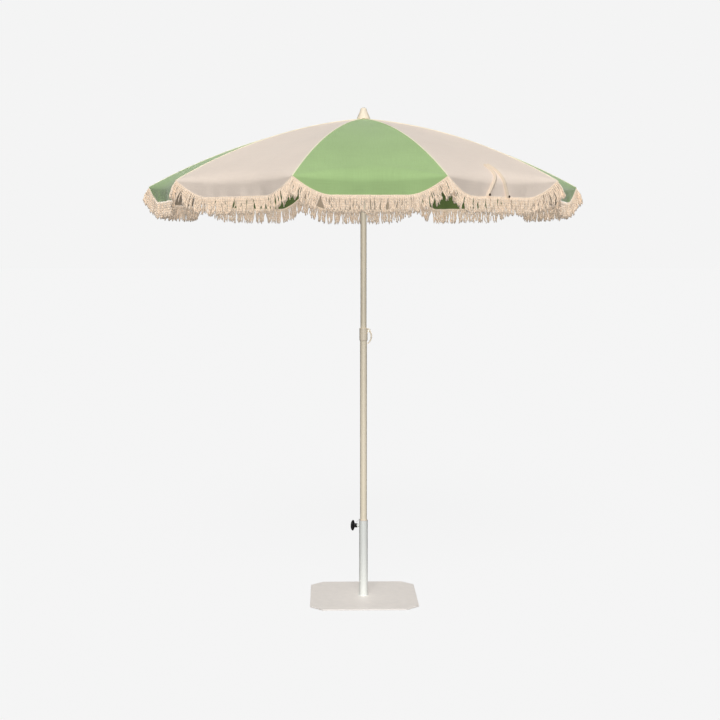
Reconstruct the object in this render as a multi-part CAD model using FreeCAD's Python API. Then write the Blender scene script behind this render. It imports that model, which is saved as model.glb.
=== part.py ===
import FreeCAD, Part
import math
import os

# Garden parasol with ten ribs, a two-part telescopic pole and a steel plate base.
# Frame: origin on the floor under the pole's axis, +Z up, the green front panel faces -Y, millimetres.

# ---------------------------------------------------------------- driving dimensions
RIB_COUNT = 10
RUN_GAP = 0.3                  # air left between pieces that move past each other
PIN_GAP = 0.1                  # radial clearance of a hinge pin in its moving eye
PAST = 1.0                     # by which a cutting shape runs past what it cuts
LAP = 2.0                      # by which two shapes to be joined run into each other

# Base
PLATE_SIDE = 500.0
PLATE_THICK = 6.0
PLATE_CORNER_CUT = 59.0
PLATE_EDGE_ROUND = 1.0
FOOT_RADIUS = 15.0
FOOT_THICK = 3.0
FOOT_INSET = 50.0              # from the plate's side to the foot's centre
BASE_TUBE_RADIUS = 20.0
BASE_TUBE_WALL = 1.5
BASE_TUBE_LENGTH = 357.0
TUBE_PLUG_THICK = 12.0
WELD_LEG = 3.2
BOLT_RADIUS = 5.0
BOLT_HEAD_RADIUS = 10.0
BOLT_LENGTH = 16.0
BOLT_SOCKET_FLATS = 6.0
BOLT_SOCKET_DEPTH = 3.0
BUSH_DEPTH = 20.0
BUSH_FLANGE_THICK = 2.5

# Clamp of the base tube
KNOB_AZIMUTH = 165.0
KNOB_HEIGHT = 340.0
SCREW_RADIUS = 4.0
SCREW_CLEAR = 0.15
BOSS_RADIUS = 7.0
BOSS_REACH = 30.0              # from the pole's axis to the boss's face
KNOB_HUB_RADIUS = 10.0
KNOB_HUB_LENGTH = 15.0
KNOB_RADIUS = 25.0
KNOB_THICK = 14.0
KNOB_GAP = 1.0                 # between the boss's face and the knob
KNOB_NECK = 10.5               # straight stretch of the knob's hub
KNOB_BROW = 4.9                # from the disc's back to its widest ring
KNOB_FRONT = 11.2              # from the disc's back to where its front starts to round
LEAF_THICK = 0.9
LEAF_HALF_ANGLE = 18.0
LEAF_BELOW_SCREW = 12.0
LEAF_TAB_WIDTH = 10.0
LEAF_TAB_REACH = 32.0
LEAF_TAB_DROP = 12.0

# Pole
LOWER_POLE_RADIUS = 16.0
LOWER_POLE_WALL = 1.5
LOWER_POLE_TOP = 1240.0
UPPER_POLE_RADIUS = 14.0
UPPER_POLE_WALL = 1.1
POLE_OVERLAP = 335.0           # length of the upper pole inside the lower one
CAP_FLANGE_THICK = 5.0
CAP_SPIGOT_LENGTH = 20.0

# Height clamp
COLLAR_WALL = 2.8
COLLAR_TOP_ABOVE_POLE = 32.0
COLLAR_BELOW_POLE = 28.0
COLLAR_TAPER = 6.0
COLLAR_GROOVE_ABOVE_POLE = 7.0
COLLAR_GROOVE_DEPTH = 0.7
EAR_THICK = 3.0
EAR_RADIUS = 8.0
CAM_WINDOW_BELOW = 3.5         # room left in the collar under the cam
LEVER_WIDTH = 10.0
LEVER_PIN_RADIUS = 2.0
LEVER_PIVOT_OUT = 10.5         # from the upper pole's wall to the pin
LEVER_PIVOT_DOWN = 10.0        # from the collar's top to the pin
CAM_RADIUS = 8.5
LEVER_BOW_OUT = 40.0           # furthest the lever stands out from the pole's axis
LEVER_BOW_DROP = 24.0          # from the pin to the furthest point
LEVER_THICK = 7.5
LEVER_TIP_DROP = 65.0
LEVER_TIP_THICK = 2.6

# Crown, ribs and stretchers
CROWN_CLOTH_Z = 2230.0         # top of the cloth beside the finial
CROWN_CLOTH_RADIUS = 30.0
CANOPY_RADIUS = 986.0          # to the rib tips
CANOPY_DROP = 309.0            # from the crown's cloth down to the rib tips
RIB_BOW = 47.0                 # height of the rib's arc over its chord
CLOTH_THICK = 1.2
RIB_UNDER_CLOTH = 3.0
RIB_DEPTH = 7.0
RIB_WIDTH = 6.0
RIB_SHEET = 0.8
RIB_ROOT_LENGTH = 40.0         # solid stretch of the rib beside the crown
RIB_TIP_RADIUS = 5.0
RIB_TIP_UNDER_CLOTH = 1.5      # from the cloth's outer face to the tip's ball
RIB_PIVOT_RADIUS = 26.0
RIB_PIVOT_DOWN = 13.0          # from the crown's cloth down to the rib pins
RIB_CLOSING_ANGLE = 70.0
EYE_RADIUS = 5.0
TONGUE_THICK = 4.0
SLOT_CLEAR = 0.3
HINGE_PIN_RADIUS = 1.6
HINGE_PIN_LENGTH = 13.0
HUB_RADIUS = 33.0
HUB_BOSS_RADIUS = 19.5
HUB_BOSS_LENGTH = 30.0
HUB_FLANGE_THICK = 17.0
HUB_TOP_DOWN = 5.0
HUB_TOP_WALL = 10.0
STRETCHER_LENGTH = 340.0       # between its two pivots
STRETCHER_RIB_RADIUS = 326.0   # from the pole's axis to the pivot on the rib
STRETCHER_PIVOT_RADIUS = 28.0
STRETCHER_DEPTH = 9.0
STRETCHER_SHEET = 1.0
STRETCHER_ROOT = 30.0
STRETCHER_FORK = 90.0          # stretch of open fork that lets the rib through
WIDE_START = 14.0              # from a hinge pin to where the full width starts
RIVET_HEAD_RADIUS = 3.2
RIVET_HEAD_THICK = 1.2
RUNNER_WALL_RADIUS = 21.0
RUNNER_BORE_CLEAR = 0.6
RUNNER_RADIUS = 35.0
RUNNER_FLANGE_THICK = 12.0
RUNNER_SLEEVE_BELOW = 45.0
RUNNER_SLEEVE_ABOVE = 9.0

# Spring catch under the runner
CATCH_AZIMUTH = 270.0
CATCH_WIDTH = 7.0
CATCH_HEIGHT = 12.0
CATCH_STAND = 3.0              # how far it stands out of the pole
CATCH_GAP = 0.8                # between the runner and the catch
CATCH_LEAF_LENGTH = 60.0
CATCH_LEAF_THICK = 0.8

# Finial
FINIAL_HEIGHT = 52.0
FINIAL_RADIUS = 30.0
FINIAL_TOP_RADIUS = 14.0
FINIAL_RIM = 4.0               # height of the bell's straight rim
FINIAL_DOME = 9.0              # height of its rounded top
FINIAL_FLARE = (27.0, 10.0)    # radius, and height over the rim, that the bell's side leaves towards
FINIAL_SHOULDER = (18.0, 14.0) # radius, and depth under the dome, that it arrives from
FINIAL_ABOVE_CLOTH = 3.0
FINIAL_STUD_RADIUS = 5.0

# Cloth, valance and fringe
SEAM_GAP = 0.5                 # from a rib's middle plane to the panel's edge
CLOTH_HOLE_RADIUS = 12.0
VALANCE_DEPTH = 81.0
VALANCE_CORNER = 150.0         # length over which the hem swings down from a rib tip
VALANCE_THICK = 1.6
VALANCE_TOP_GAP = 3.0
VALANCE_END_GAP = 7.0
FRINGE_LENGTH = 66.0
FRINGE_THICK = 4.0
BRAID_GAP = 0.2                # between the cloth's hem and the fringe's band
WEDGE_REACH = 1.2              # reach of a gore's cutting wedge, as a share of the canopy's

# ---------------------------------------------------------------- places that follow
AXIS_X = FreeCAD.Vector(1, 0, 0)
AXIS_Y = FreeCAD.Vector(0, 1, 0)
AXIS_Z = FreeCAD.Vector(0, 0, 1)

RIB_STEP = 360.0 / RIB_COUNT
HALF_STEP = math.radians(RIB_STEP / 2)

PLATE_TOP = FOOT_THICK + PLATE_THICK
BASE_TUBE_TOP = PLATE_TOP + BASE_TUBE_LENGTH
BASE_TUBE_BORE = BASE_TUBE_RADIUS - BASE_TUBE_WALL
LOWER_POLE_BOTTOM = PLATE_TOP + TUBE_PLUG_THICK + CAP_FLANGE_THICK
LOWER_POLE_BORE = LOWER_POLE_RADIUS - LOWER_POLE_WALL
LEAF_INNER = LOWER_POLE_RADIUS + RUN_GAP
LEAF_OUTER = LEAF_INNER + LEAF_THICK
BUSH_TOP = BASE_TUBE_TOP + BUSH_FLANGE_THICK
BOSS_ROOT = BASE_TUBE_RADIUS - BASE_TUBE_WALL / 2
SCREW_END = BOSS_REACH + KNOB_HUB_LENGTH + KNOB_THICK / 2

COLLAR_TOP = LOWER_POLE_TOP + COLLAR_TOP_ABOVE_POLE
COLLAR_RADIUS = LOWER_POLE_RADIUS + COLLAR_WALL
LEVER_PIVOT = (UPPER_POLE_RADIUS + LEVER_PIVOT_OUT, COLLAR_TOP - LEVER_PIVOT_DOWN)

RIB_PIVOT = (RIB_PIVOT_RADIUS, CROWN_CLOTH_Z - RIB_PIVOT_DOWN)
HUB_TOP = CROWN_CLOTH_Z - HUB_TOP_DOWN
UPPER_POLE_TOP = HUB_TOP - HUB_TOP_WALL
UPPER_POLE_BORE = UPPER_POLE_RADIUS - UPPER_POLE_WALL
SLOT_WIDTH = TONGUE_THICK + 2 * SLOT_CLEAR
EYE_BORE = HINGE_PIN_RADIUS + PIN_GAP


def arc_of(start, end, bow):
    """Centre and radius of the arc from start to end, both (radius, z), that stands bow over its chord."""
    run = end[0] - start[0]
    rise = end[1] - start[1]
    chord = math.hypot(run, rise)
    radius = chord * chord / (8 * bow) + bow / 2
    down = radius - bow
    middle = ((start[0] + end[0]) / 2, (start[1] + end[1]) / 2)
    return (middle[0] + down * rise / chord, middle[1] - down * run / chord), radius


CROWN_END = (CROWN_CLOTH_RADIUS, CROWN_CLOTH_Z)
TIP_END = (CANOPY_RADIUS, CROWN_CLOTH_Z - CANOPY_DROP)
ARC_CENTRE, ARC_RADIUS = arc_of(CROWN_END, TIP_END, RIB_BOW)


def on_arc(reach, inset):
    """Point (reach, z) of the arc that lies inset under the cloth's outer face."""
    out = reach - ARC_CENTRE[0]
    return (reach, ARC_CENTRE[1] + math.sqrt((ARC_RADIUS - inset) ** 2 - out * out))


RIB_MIDDLE = RIB_UNDER_CLOTH + RIB_DEPTH / 2
RIB_EYE = on_arc(STRETCHER_RIB_RADIUS, RIB_MIDDLE)


def turned_down(point, angle):
    """Where a rib's point stands once the rib has closed by angle, in degrees."""
    out = point[0] - RIB_PIVOT[0]
    up = point[1] - RIB_PIVOT[1]
    c = math.cos(math.radians(angle))
    s = math.sin(math.radians(angle))
    return (RIB_PIVOT[0] + out * c + up * s, RIB_PIVOT[1] - out * s + up * c)


def runner_height(eye):
    """Height of the runner's pins for a stretcher that ends at eye."""
    out = eye[0] - STRETCHER_PIVOT_RADIUS
    return eye[1] - math.sqrt(STRETCHER_LENGTH ** 2 - out * out)


def stretcher_slope(eye):
    """Angle in degrees by which the stretcher that ends at eye rises."""
    return math.degrees(math.acos((eye[0] - STRETCHER_PIVOT_RADIUS) / STRETCHER_LENGTH))


RUNNER_Z = runner_height(RIB_EYE)
STRETCHER_RISE = stretcher_slope(RIB_EYE)
CLOSED_EYE = turned_down(RIB_EYE, RIB_CLOSING_ANGLE)
RUNNER_BOTTOM = RUNNER_Z - RUNNER_SLEEVE_BELOW
CATCH_TOP = RUNNER_BOTTOM - CATCH_GAP


# ---------------------------------------------------------------- shape helpers
def cylinder(radius, low, high):
    return Part.makeCylinder(radius, high - low, FreeCAD.Vector(0, 0, low))


def tube(outer, inner, low, high):
    return cylinder(outer, low, high).cut(cylinder(inner, low, high))


def cross_cylinder(radius, place, length):
    """Cylinder along Y, centred on the XZ plane at place, an (x, z) pair."""
    start = FreeCAD.Vector(place[0], -length / 2, place[1])
    return Part.makeCylinder(radius, length, start, AXIS_Y)


def box(x_range, width, z_range):
    """Box over x_range and z_range, centred on the XZ plane."""
    low = FreeCAD.Vector(x_range[0], -width / 2, z_range[0])
    return Part.makeBox(x_range[1] - x_range[0], width, z_range[1] - z_range[0], low)


def xz(point):
    return FreeCAD.Vector(point[0], 0, point[1])


def face_xz(edges):
    return Part.Face(Part.Wire(edges))


def polygon_xz(points):
    corners = [xz(p) for p in points]
    return Part.Face(Part.makePolygon(corners + corners[:1]))


def outward(solid):
    """The solid with its faces pointing out, whichever way its outline was drawn."""
    if solid.Volume < 0:
        solid.reverse()
    return solid


def thick(face, width):
    """The face in the XZ plane given a width along Y, half on each side."""
    solid = outward(face.extrude(FreeCAD.Vector(0, width, 0)))
    solid.translate(FreeCAD.Vector(0, -width / 2, 0))
    return solid


def spun(face, centre, axis):
    """Solid of revolution of a face about an axis through centre."""
    return outward(face.revolve(centre, axis, 360))


def revolved(points):
    """Solid of revolution about Z of a closed outline of (radius, z) points."""
    return spun(polygon_xz(points), FreeCAD.Vector(0, 0, 0), AXIS_Z)


def arc_edge(start, middle, end):
    return Part.Arc(xz(start), xz(middle), xz(end)).toShape()


def curve_edge(*poles):
    """Bezier edge; its first and last poles are its ends."""
    curve = Part.BezierCurve()
    curve.setPoles([xz(p) for p in poles])
    return curve.toShape()


def line_edge(start, end):
    return Part.LineSegment(xz(start), xz(end)).toShape()


def at_azimuth(shape, azimuth):
    """Copy of a shape that was made along +X, turned to its azimuth."""
    copy = shape.copy()
    copy.rotate(FreeCAD.Vector(0, 0, 0), AXIS_Z, azimuth)
    return copy


def arc_band(reach, insets, squeeze=1.0):
    """Face between two arcs under the cloth, over the two reaches, its reaches scaled by squeeze."""
    middle = (reach[0] + reach[1]) / 2
    upper = [on_arc(r, insets[0]) for r in (reach[0], middle, reach[1])]
    lower = [on_arc(r, insets[1]) for r in (reach[1], middle, reach[0])]
    upper = [(r * squeeze, z) for r, z in upper]
    lower = [(r * squeeze, z) for r, z in lower]
    return face_xz([arc_edge(*upper), line_edge(upper[2], lower[0]),
                    arc_edge(*lower), line_edge(lower[2], upper[0])])


# ---------------------------------------------------------------- base
def base_plate():
    half = PLATE_SIDE / 2
    cut = half - PLATE_CORNER_CUT
    corners = [(half, -cut), (half, cut), (cut, half), (-cut, half),
               (-half, cut), (-half, -cut), (-cut, -half), (cut, -half)]
    outline = [FreeCAD.Vector(x, y, FOOT_THICK) for x, y in corners]
    plate = Part.Face(Part.makePolygon(outline + outline[:1])).extrude(AXIS_Z * PLATE_THICK)
    rims = [e for e in plate.Edges if all(abs(v.Z - PLATE_TOP) < 0.01 for v in e.Vertexes)]
    plate = plate.makeFillet(PLATE_EDGE_ROUND, rims)
    return plate.cut(bolt_outline(RUN_GAP))


def bolt_outline(grow):
    """Countersunk bolt as a solid of revolution, with its shank grown by grow."""
    cone = BOLT_HEAD_RADIUS - BOLT_RADIUS
    shank = BOLT_RADIUS + grow
    top = FOOT_THICK + BOLT_LENGTH
    return revolved([(0, FOOT_THICK), (BOLT_HEAD_RADIUS, FOOT_THICK), (shank, FOOT_THICK + cone - grow),
                     (shank, top), (0, top)])


def base_bolt():
    flats = BOLT_SOCKET_FLATS / math.sqrt(3)
    hexagon = [FreeCAD.Vector(flats * math.cos(math.radians(60 * k)), flats * math.sin(math.radians(60 * k)),
                              FOOT_THICK) for k in range(7)]
    socket = Part.Face(Part.makePolygon(hexagon)).extrude(AXIS_Z * BOLT_SOCKET_DEPTH)
    return bolt_outline(0).cut(socket)


def base_feet():
    place = PLATE_SIDE / 2 - FOOT_INSET - FOOT_RADIUS
    feet = []
    for x in (-place, place):
        for y in (-place, place):
            foot = cylinder(FOOT_RADIUS, 0, FOOT_THICK)
            foot = foot.makeFillet(PLATE_EDGE_ROUND / 2, [e for e in foot.Edges if e.BoundBox.ZMax < 0.01])
            foot.translate(FreeCAD.Vector(x, y, 0))
            feet.append(foot)
    return Part.makeCompound(feet)


def base_tube():
    """Steel tube with a threaded plug in its foot, a weld bead round it and the clamp's threaded boss."""
    body = tube(BASE_TUBE_RADIUS, BASE_TUBE_BORE, PLATE_TOP, BASE_TUBE_TOP)
    plug = tube(BASE_TUBE_BORE + BASE_TUBE_WALL / 2, BOLT_RADIUS, PLATE_TOP, PLATE_TOP + TUBE_PLUG_THICK)
    bead = revolved([(BOSS_ROOT, PLATE_TOP), (BASE_TUBE_RADIUS + WELD_LEG, PLATE_TOP),
                     (BASE_TUBE_RADIUS, PLATE_TOP + WELD_LEG), (BOSS_ROOT, PLATE_TOP + WELD_LEG)])
    boss = Part.makeCylinder(BOSS_RADIUS, BOSS_REACH - BOSS_ROOT, xz((BOSS_ROOT, KNOB_HEIGHT)), AXIS_X)
    boss = boss.cut(cylinder(BASE_TUBE_BORE, PLATE_TOP, BASE_TUBE_TOP))
    bore_start = xz((BASE_TUBE_BORE / 2, KNOB_HEIGHT))
    bore = Part.makeCylinder(SCREW_RADIUS + SCREW_CLEAR, BOSS_REACH, bore_start, AXIS_X)
    body = body.fuse([plug, bead, at_azimuth(boss, KNOB_AZIMUTH)]).removeSplitter()
    return body.cut(at_azimuth(bore, KNOB_AZIMUTH))


def guide_bush():
    """Plastic bush in the tube's mouth, slotted for the pressure leaf."""
    bore = LOWER_POLE_RADIUS + RUN_GAP
    ring = tube(BASE_TUBE_BORE, bore, BASE_TUBE_TOP - BUSH_DEPTH, BASE_TUBE_TOP)
    flange = tube(BASE_TUBE_RADIUS, bore, BASE_TUBE_TOP, BUSH_TOP)
    half_slot = LEAF_OUTER * math.sin(math.radians(LEAF_HALF_ANGLE)) + 2 * RUN_GAP
    slot = box((0, 2 * BASE_TUBE_RADIUS), 2 * half_slot, (BASE_TUBE_TOP - 2 * BUSH_DEPTH, BUSH_TOP + PAST))
    return ring.fuse(flange).removeSplitter().cut(at_azimuth(slot, KNOB_AZIMUTH))


def pressure_leaf():
    """Curved steel leaf between screw and pole, with a tab bent over the tube's rim."""
    low = KNOB_HEIGHT - LEAF_BELOW_SCREW
    top = BUSH_TOP + 2 * RUN_GAP + LEAF_THICK
    shell = tube(LEAF_OUTER, LEAF_INNER, low, top)
    reach = 2 * LEAF_OUTER
    spread = reach * math.tan(math.radians(LEAF_HALF_ANGLE))
    sector = Part.Face(Part.makePolygon([FreeCAD.Vector(0, 0, low), FreeCAD.Vector(reach, -spread, low),
                                         FreeCAD.Vector(reach, spread, low), FreeCAD.Vector(0, 0, low)]))
    shell = shell.common(sector.extrude(AXIS_Z * (top - low)))
    start = LEAF_INNER + LEAF_THICK / 4
    bend = BASE_TUBE_RADIUS + 2 * RUN_GAP
    tab = polygon_xz([(start, top - LEAF_THICK), (bend, top - LEAF_THICK),
                      (LEAF_TAB_REACH, top - LEAF_THICK - LEAF_TAB_DROP),
                      (LEAF_TAB_REACH + LEAF_THICK, top - LEAF_TAB_DROP), (bend, top), (start, top)])
    leaf = shell.fuse(thick(tab, LEAF_TAB_WIDTH)).removeSplitter()
    return at_azimuth(leaf, KNOB_AZIMUTH)


def clamp_screw():
    start = LEAF_OUTER + PIN_GAP
    screw = Part.makeCylinder(SCREW_RADIUS, SCREW_END - start, xz((start, KNOB_HEIGHT)), AXIS_X)
    return at_azimuth(screw, KNOB_AZIMUTH)


def clamp_knob():
    """Mushroom knob moulded round the screw."""
    start = BOSS_REACH + KNOB_GAP
    neck = start + KNOB_NECK
    disc = start + KNOB_HUB_LENGTH
    end = disc + KNOB_THICK
    z = KNOB_HEIGHT
    brow = (disc + KNOB_BROW, z + KNOB_RADIUS)
    edges = [line_edge((start, z), (start, z + KNOB_HUB_RADIUS)),
             line_edge((start, z + KNOB_HUB_RADIUS), (neck, z + KNOB_HUB_RADIUS)),
             curve_edge((neck, z + KNOB_HUB_RADIUS), (disc, z + KNOB_HUB_RADIUS),
                        (disc, z + KNOB_RADIUS), brow),
             curve_edge(brow, (disc + KNOB_FRONT, z + KNOB_RADIUS), (end, z + KNOB_RADIUS / 2), (end, z)),
             line_edge((end, z), (start, z))]
    knob = spun(face_xz(edges), FreeCAD.Vector(0, 0, z), AXIS_X)
    socket = Part.makeCylinder(SCREW_RADIUS, SCREW_END, xz((0, z)), AXIS_X)
    return at_azimuth(knob.cut(socket), KNOB_AZIMUTH)


# ---------------------------------------------------------------- pole
def pole_foot_cap():
    low = PLATE_TOP + TUBE_PLUG_THICK
    flange = cylinder(BASE_TUBE_BORE - 2 * RUN_GAP, low, LOWER_POLE_BOTTOM)
    spigot = cylinder(LOWER_POLE_BORE - PIN_GAP, low, LOWER_POLE_BOTTOM + CAP_SPIGOT_LENGTH)
    return flange.fuse(spigot).removeSplitter()


def lower_pole():
    return tube(LOWER_POLE_RADIUS, LOWER_POLE_BORE, LOWER_POLE_BOTTOM, LOWER_POLE_TOP)


def height_collar():
    """Collar pressed on the lower pole, with a window and two ears for the cam lever."""
    low = LOWER_POLE_TOP - COLLAR_BELOW_POLE
    grip = UPPER_POLE_RADIUS + RUN_GAP
    groove = LOWER_POLE_TOP + COLLAR_GROOVE_ABOVE_POLE
    depth = COLLAR_GROOVE_DEPTH
    ring = revolved([(LOWER_POLE_RADIUS, low), (LOWER_POLE_RADIUS + depth, low),
                     (COLLAR_RADIUS, low + COLLAR_TAPER), (COLLAR_RADIUS, groove - depth),
                     (COLLAR_RADIUS - depth, groove), (COLLAR_RADIUS, groove + depth),
                     (COLLAR_RADIUS, COLLAR_TOP - depth), (COLLAR_RADIUS - depth, COLLAR_TOP),
                     (grip, COLLAR_TOP), (grip, LOWER_POLE_TOP), (LOWER_POLE_RADIUS, LOWER_POLE_TOP)])
    window = LEVER_WIDTH + 2 * RUN_GAP
    block = box((UPPER_POLE_RADIUS / 2, LEVER_PIVOT[0]), window + 2 * EAR_THICK,
                (LEVER_PIVOT[1] - EAR_RADIUS, LEVER_PIVOT[1] + EAR_RADIUS))
    ears = block.fuse(cross_cylinder(EAR_RADIUS, LEVER_PIVOT, window + 2 * EAR_THICK))
    ears = ears.cut(cylinder(grip, low, COLLAR_TOP + PAST))
    collar = ring.fuse(ears).removeSplitter()
    opening_low = LEVER_PIVOT[1] - CAM_RADIUS - CAM_WINDOW_BELOW
    opening = box((0, 2 * LEVER_BOW_OUT), window, (opening_low, COLLAR_TOP + PAST))
    collar = collar.cut(opening)
    return collar.cut(cross_cylinder(LEVER_PIN_RADIUS, LEVER_PIVOT, 4 * LEVER_WIDTH))


def lever_pin():
    length = LEVER_WIDTH + 2 * RUN_GAP + 2 * EAR_THICK
    pin = cross_cylinder(LEVER_PIN_RADIUS, LEVER_PIVOT, length)
    heads = []
    for side in (-1, 1):
        place = FreeCAD.Vector(LEVER_PIVOT[0], side * length / 2, LEVER_PIVOT[1])
        heads.append(Part.makeCylinder(1.5 * LEVER_PIN_RADIUS, RIVET_HEAD_THICK, place, AXIS_Y * side))
    return pin.fuse(heads).removeSplitter()


def lock_lever():
    """Cam lever that hangs down beside the collar in a bow and ends against the lower pole."""
    px, pz = LEVER_PIVOT
    lift = px - CAM_RADIUS - (UPPER_POLE_RADIUS + RUN_GAP)
    cam = cross_cylinder(CAM_RADIUS, (px - lift, pz), LEVER_WIDTH)
    tip = pz - LEVER_TIP_DROP
    tip_x = LOWER_POLE_RADIUS + 2 * RUN_GAP
    bow_z = pz - LEVER_BOW_DROP
    outer = arc_edge((px - lift, pz + CAM_RADIUS), (LEVER_BOW_OUT, bow_z), (tip_x + LEVER_TIP_THICK, tip))
    inner = arc_edge((tip_x, tip + LEVER_TIP_THICK), (LEVER_BOW_OUT - LEVER_THICK, bow_z),
                     (px, pz - CAM_RADIUS / 2))
    foot = line_edge((tip_x + LEVER_TIP_THICK, tip), (tip_x, tip + LEVER_TIP_THICK))
    root = line_edge((px, pz - CAM_RADIUS / 2), (px - lift, pz + CAM_RADIUS))
    arm = thick(face_xz([outer, foot, inner, root]), LEVER_WIDTH)
    lever = cam.fuse(arm).removeSplitter()
    return lever.cut(cross_cylinder(LEVER_PIN_RADIUS + PIN_GAP, LEVER_PIVOT, 2 * LEVER_WIDTH))


def upper_pole():
    body = tube(UPPER_POLE_RADIUS, UPPER_POLE_BORE, LOWER_POLE_TOP - POLE_OVERLAP, UPPER_POLE_TOP)
    window = box((0, 2 * UPPER_POLE_RADIUS), CATCH_WIDTH + 2 * RUN_GAP,
                 (CATCH_TOP - CATCH_HEIGHT - RUN_GAP, CATCH_TOP + RUN_GAP))
    return body.cut(at_azimuth(window, CATCH_AZIMUTH))


def runner_catch():
    """Wedge button on a leaf inside the pole."""
    low = CATCH_TOP - CATCH_HEIGHT
    outside = UPPER_POLE_RADIUS + CATCH_STAND
    inside = UPPER_POLE_BORE - CATCH_LEAF_THICK - RUN_GAP
    wedge = polygon_xz([(inside, low), (UPPER_POLE_RADIUS, low), (outside, CATCH_TOP - CATCH_STAND),
                        (outside, CATCH_TOP), (inside, CATCH_TOP)])
    leaf = box((inside - CATCH_LEAF_THICK, inside), CATCH_WIDTH, (low - CATCH_LEAF_LENGTH, CATCH_TOP))
    return at_azimuth(thick(wedge, CATCH_WIDTH).fuse(leaf).removeSplitter(), CATCH_AZIMUTH)


# ---------------------------------------------------------------- crown and runner
def slotted(body, pivot, reach, heights):
    """Cut the radial slots and pin holes of a notched flange."""
    slot = box(reach, SLOT_WIDTH, heights)
    hole = cross_cylinder(HINGE_PIN_RADIUS, pivot, HINGE_PIN_LENGTH)
    cuts = []
    for k in range(RIB_COUNT):
        cuts.append(at_azimuth(slot, k * RIB_STEP))
        cuts.append(at_azimuth(hole, k * RIB_STEP))
    return body.cut(cuts)


def pins_at(pivot):
    """Hinge pins of a notched flange, as separate solids."""
    pin = cross_cylinder(HINGE_PIN_RADIUS, pivot, HINGE_PIN_LENGTH)
    return Part.makeCompound([at_azimuth(pin, k * RIB_STEP) for k in range(RIB_COUNT)])


def crown_hub():
    flange = cylinder(HUB_RADIUS, HUB_TOP - HUB_FLANGE_THICK, HUB_TOP)
    boss = cylinder(HUB_BOSS_RADIUS, HUB_TOP - HUB_BOSS_LENGTH, HUB_TOP)
    body = flange.fuse(boss).removeSplitter()
    body = body.cut(cylinder(UPPER_POLE_RADIUS, HUB_TOP - HUB_BOSS_LENGTH, UPPER_POLE_TOP))
    body = body.cut(cylinder(FINIAL_STUD_RADIUS, UPPER_POLE_TOP, HUB_TOP))
    inner = RIB_PIVOT_RADIUS - EYE_RADIUS - SLOT_CLEAR
    heights = (HUB_TOP - HUB_FLANGE_THICK - PAST, HUB_TOP + PAST)
    return slotted(body, RIB_PIVOT, (inner, 2 * HUB_RADIUS), heights)


def finial():
    """Bell-shaped cap on a stud that screws into the crown."""
    low = CROWN_CLOTH_Z + FINIAL_ABOVE_CLOTH
    top = low + FINIAL_HEIGHT
    rim = low + FINIAL_RIM
    brow = (FINIAL_TOP_RADIUS, top - FINIAL_DOME)
    edges = [line_edge((0, low), (FINIAL_RADIUS, low)),
             line_edge((FINIAL_RADIUS, low), (FINIAL_RADIUS, rim)),
             curve_edge((FINIAL_RADIUS, rim), (FINIAL_FLARE[0], rim + FINIAL_FLARE[1]),
                        (FINIAL_SHOULDER[0], brow[1] - FINIAL_SHOULDER[1]), brow),
             curve_edge(brow, (FINIAL_TOP_RADIUS, top), (FINIAL_TOP_RADIUS / 2, top), (0, top)),
             line_edge((0, top), (0, low))]
    cap = spun(face_xz(edges), FreeCAD.Vector(0, 0, 0), AXIS_Z)
    return cap.fuse(cylinder(FINIAL_STUD_RADIUS, UPPER_POLE_TOP, low)).removeSplitter()


def runner():
    """Sleeve with a notched flange, and a groove that lets the catch pass."""
    low = RUNNER_BOTTOM
    high = RUNNER_Z + RUNNER_SLEEVE_ABOVE
    half = RUNNER_FLANGE_THICK / 2
    sleeve = cylinder(RUNNER_WALL_RADIUS, low, high)
    flange = cylinder(RUNNER_RADIUS, RUNNER_Z - half, RUNNER_Z + half)
    body = sleeve.fuse(flange).removeSplitter()
    body = body.cut(cylinder(UPPER_POLE_RADIUS + RUNNER_BORE_CLEAR, low, high))
    groove = box((0, UPPER_POLE_RADIUS + CATCH_STAND + RUN_GAP), CATCH_WIDTH + 4 * RUN_GAP,
                 (low - PAST, high + PAST))
    body = body.cut(at_azimuth(groove, CATCH_AZIMUTH))
    pivot = (STRETCHER_PIVOT_RADIUS, RUNNER_Z)
    inner = STRETCHER_PIVOT_RADIUS - EYE_RADIUS - SLOT_CLEAR
    return slotted(body, pivot, (inner, 2 * RUNNER_RADIUS), (RUNNER_Z - half - PAST, RUNNER_Z + half + PAST))


# ---------------------------------------------------------------- ribs and stretchers
def rib():
    """Steel channel bent to the canopy's arc, with a flat eye at the crown and a round tip."""
    start = RIB_PIVOT_RADIUS + WIDE_START
    end = CANOPY_RADIUS - RIB_TIP_RADIUS
    insets = (RIB_UNDER_CLOTH, RIB_UNDER_CLOTH + RIB_DEPTH)
    bar = thick(arc_band((start, end), insets), RIB_WIDTH)
    hollow = arc_band((start + RIB_ROOT_LENGTH, end + RIB_TIP_RADIUS),
                      (insets[0] + RIB_SHEET, insets[1] + PAST))
    bar = bar.cut(thick(hollow, RIB_WIDTH - 2 * RIB_SHEET))
    upper = on_arc(start + LAP, insets[0])
    lower = on_arc(start + LAP, insets[1])
    neck = polygon_xz([(RIB_PIVOT[0], RIB_PIVOT[1] + EYE_RADIUS), (start, on_arc(start, insets[0])[1]), upper,
                       lower, (RIB_PIVOT[0], RIB_PIVOT[1] - EYE_RADIUS)])
    tongue = thick(neck, TONGUE_THICK).fuse(cross_cylinder(EYE_RADIUS, RIB_PIVOT, TONGUE_THICK))
    body = bar.fuse(tongue).removeSplitter()
    body = body.cut(cross_cylinder(EYE_BORE, RIB_PIVOT, 2 * TONGUE_THICK))
    body = body.cut(cross_cylinder(HINGE_PIN_RADIUS + PIN_GAP, RIB_EYE, 2 * RIB_WIDTH))
    ball = Part.makeSphere(RIB_TIP_RADIUS, xz(on_arc(end, RIB_TIP_UNDER_CLOTH + RIB_TIP_RADIUS)))
    return Part.makeCompound([body.cut(ball), ball])


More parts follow.
